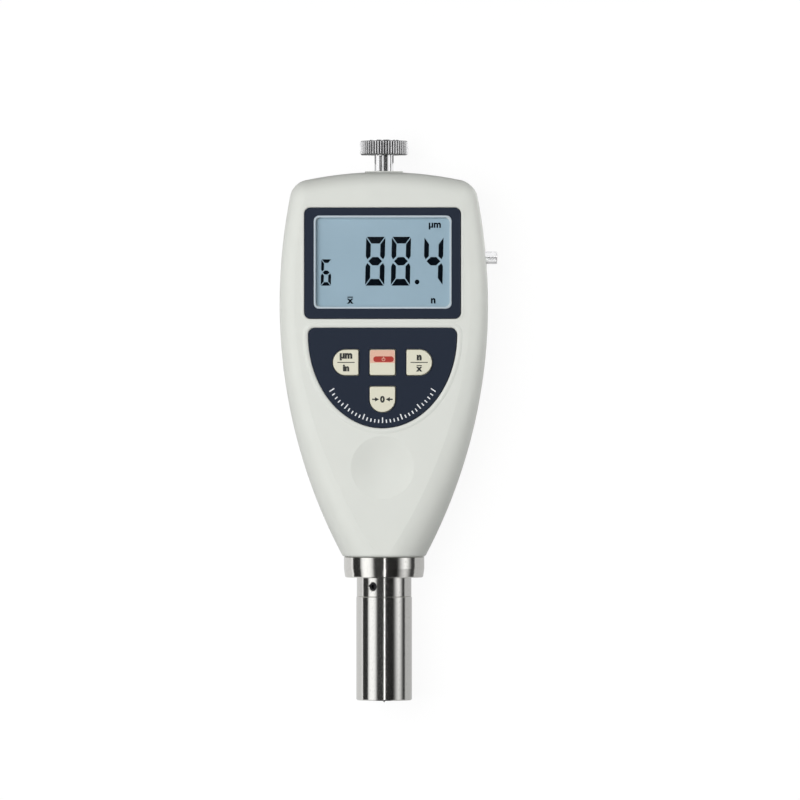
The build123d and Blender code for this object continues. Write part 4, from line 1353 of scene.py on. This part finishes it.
@dataclass
class Studio:
    """A pale table, soft boxes, tents and cards for the metal to mirror, and the camera above."""

    floor_z: float = -0.3
    floor_size: float = 30000.0
    floor_tones: Point = (0.5, 0.93)
    floor_glow: float = 1.03
    floor_fade: Point = (200.0, 1500.0)
    reach: float = 1200.0
    aim: Place = (0.0, 30.0, 10.0)
    key_power: float = 11.3
    left_power: float = 0.46
    right_power: float = 0.15
    side_power: float = 0.3
    sky_fill: float = 0.22
    distance: float = 3000.0
    scale: float = 3.185
    middle_px: float = 400.0
    sensor: float = 36.0
    clip: Point = (50.0, 50000.0)
    target: Place = (5.0, 21.14, AXIS_Z)
    front_z: float = 18.0
    yaw: float = 1.9
    tents: tuple[Tent, ...] = (
        Tent("tent_low", (-900, -42), (*LEFT_BOX, *STRIP, *RIGHT_BOX)),
        Tent("tent_middle", (-42, 96), (*LEFT_BOX, *DARK, *RIGHT_BOX)),
        Tent("tent_rod", (96, 205), OVER_ROD),
        Tent("tent_high", (205, 700), STRIPES),
    )

    def floor(self) -> None:
        """The table: pale to the eye and to metal, and a quieter grey to the light that it gives back."""
        pick()
        bpy.ops.mesh.primitive_plane_add(size=self.floor_size * MM, location=(0, 0, self.floor_z * MM))
        table = bpy.context.object
        table.name = "table"
        shade = Shade("table_top")
        path = shade.node("LightPath").outputs
        kinds = ("Camera", "Glossy", "Transmission")
        camera, gloss, through = (Value(shade, path[f"Is {kind} Ray"]) for kind in kinds)
        seen = camera.math("MAXIMUM", gloss).math("MAXIMUM", through)
        tone = shade.mix(seen, *((tone,) * 3 for tone in self.floor_tones))
        far = shade.away(shade.y).ramp(*self.floor_fade) * 0.1 + 0.9
        matt = shade.node("BsdfDiffuse", {"Color": tone}).outputs[0]
        glow = shade.node("Emission", {"Color": (1, 1, 1), "Strength": self.floor_glow}).outputs[0]
        surface = shade.node("MixShader", {0: seen * far, 1: matt, 2: glow})
        table.data.materials.append(shade.end(surface))

    def lamp(self, name: str, angles: Point, span: Point, power: float) -> None:
        """A long soft box that faces the probe and lights all but gloss, which sees the tents.

        Args:
            name: The lamp's name.
            angles: Where it starts and ends, in degrees from straight up towards +X.
            span: Where it starts and ends along Y, in millimetres.
            power: Its brightness, where 1 is white.
        """
        start, end = (math.radians(angle) for angle in angles)
        width = 2 * self.reach * math.tan((end - start) / 2) * MM
        length = (span[1] - span[0]) * MM
        lamp = self.area(name, (width, length), power * math.pi * width * length)
        middle = (start + end) / 2
        lamp.location = (
            self.reach * MM * math.sin(middle),
            (span[0] + span[1]) / 2 * MM,
            (AXIS_Z + self.reach * math.cos(middle)) * MM,
        )
        lamp.rotation_euler = (0, middle, 0)

    def area(self, name: str, size: Point, power: float) -> bpy.types.Object:
        """An area lamp that neither the camera nor gloss sees.

        Args:
            name: The lamp's name.
            size: Its width and length in metres.
            power: Its power in watts.

        Returns:
            The lamp.
        """
        light = bpy.data.lights.new(name, "AREA")
        light.shape, light.energy = "RECTANGLE", power
        light.size, light.size_y = size
        lamp = add(name, light)
        lamp.visible_camera = lamp.visible_glossy = False
        return lamp

    def spot(self, name: str, size: float, place: Place, power: float) -> None:
        """A square soft box that faces the gauge and lights all but gloss.

        Args:
            name: The lamp's name.
            size: Its side in millimetres.
            place: Its middle in millimetres.
            power: Its power in watts.
        """
        lamp = self.area(name, (size * MM, size * MM), power)
        lamp.location = Vector(place) * MM
        lamp.rotation_euler = (Vector(self.aim) * MM - lamp.location).to_track_quat("-Z", "Y").to_euler()

    def card(self, name: str, size: Point, place: Place, turn: Place, tone: float) -> None:
        """A card that only gloss sees.

        Args:
            name: The card's name.
            size: Its size, as for a panel.
            place: Its middle, as for a panel.
            turn: Its turn, as for a panel.
            tone: How bright it looks.
        """
        shade = Shade(f"{name}_tone")
        glow = shade.node("Emission", {"Color": (tone, tone, tone), "Strength": 1.0})
        only_gloss(self.panel(name, size, place, turn, shade.end(glow)))

    def panel(
        self, name: str, size: Point, place: Place, turn: Place, finish: bpy.types.Material
    ) -> bpy.types.Object:
        """A flat panel that stands in the studio.

        Args:
            name: The panel's name.
            size: Its width and height before it is turned, in millimetres.
            place: Its middle in millimetres.
            turn: How it is turned, in degrees about each axis.
            finish: Its material.

        Returns:
            The panel.
        """
        pick()
        rotation = tuple(math.radians(angle) for angle in turn)
        bpy.ops.mesh.primitive_plane_add(size=MM, location=Vector(place) * MM, rotation=rotation)
        plane = bpy.context.object
        plane.name = name
        plane.scale = (*size, 1)
        plane.data.materials.append(finish)
        return plane

    def cards(self) -> None:
        """Cards close to the gauge: three that stand on end beside the foot, and four on the table."""
        self.card("card_left", (42, 500), (-85, -190, 31), (0, 90, 0), 0.03)
        self.card("card_right", (19, 900), (85, 0, 17), (0, 90, 0), 0.05)
        self.card("card_below", (160, 50), (0, -260, 20), (90, 0, 0), 0.03)
        self.card("card_left_table", (75, 300), (-46, -130, 0), (0, 0, 0), 0.75)
        self.card("card_right_table", (440, 500), (230, -190, 0), (0, 0, 0), 0.56)
        self.card("card_rod", (14, 9), (-17, 94, 0), (0, 0, 0), 0.2)
        self.card("card_knob", (70, 11), (0, 101.5, 0), (0, 0, 0), 0.22)

    def flag(self) -> None:
        """A black flag beyond the top screw, which keeps low light off the housing's upper edge."""
        shade = Shade("flag_cloth")
        black = shade.end(shade.node("BsdfDiffuse", {"Color": (0.01, 0.01, 0.01)}))
        plane = self.panel("flag", (500, 120), (0, 150, 60), (90, 0, 0), black)
        plane.visible_camera = plane.visible_shadow = plane.visible_glossy = False

    def sky(self) -> None:
        """White round about, which gives the surfaces a quieter fill."""
        world = bpy.data.worlds.new("sky")
        bpy.context.scene.world = world
        world.use_nodes = True
        nodes, links = world.node_tree.nodes, world.node_tree.links
        path = nodes.new("ShaderNodeLightPath").outputs["Is Diffuse Ray"]
        back = nodes["Background"]
        fade = nodes.new("ShaderNodeMapRange")
        fade.inputs["To Min"].default_value = 1.0
        fade.inputs["To Max"].default_value = self.sky_fill
        links.new(path, fade.inputs["Value"])
        links.new(fade.outputs[0], back.inputs["Strength"])
        back.inputs["Color"].default_value = (1, 1, 1, 1)

    def camera(self) -> None:
        """The camera straight above the lying gauge, a touch to its right."""
        lens = bpy.data.cameras.new("camera")
        lens.sensor_width = self.sensor
        lens.lens = lens.sensor_width * self.distance * self.scale / (2 * self.middle_px)
        camera = add("camera", lens)
        yaw = math.radians(self.yaw)
        way = Vector((math.sin(yaw), 0, math.cos(yaw)))
        target = Vector(self.target)
        camera.location = (target + way * (self.distance + self.front_z - target.z)) * MM
        camera.rotation_euler = (0, yaw, 0)
        lens.clip_start, lens.clip_end = (distance * MM for distance in self.clip)
        bpy.context.scene.camera = camera

    def build(self) -> None:
        """Sets up the studio."""
        bpy.context.scene.view_settings.view_transform = "Standard"
        self.floor()
        self.sky()
        self.spot("key", 800, (-420, 120, 1080), self.key_power)
        self.spot("side", 60, (250, 120, 12), self.side_power)
        self.lamp("left_box", (-68.0, -35.0), (-200, 700), self.left_power)
        self.lamp("right_box", (45.0, 78.0), (-500, 500), self.right_power)
        for tent in self.tents:
            tent.build()
        self.cards()
        self.flag()
        self.camera()


def main() -> None:
    """Builds the gauge and the studio in order."""
    logging.basicConfig(level=logging.INFO, format="%(message)s")
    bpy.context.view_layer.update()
    for assembly in (Display(), Keypad(), Housing(), Workings(), Probe(), Studio()):
        assembly.build()
        log.info("%s is done", type(assembly).__name__)
    bpy.context.view_layer.update()


if __name__ == "__main__":
    main()
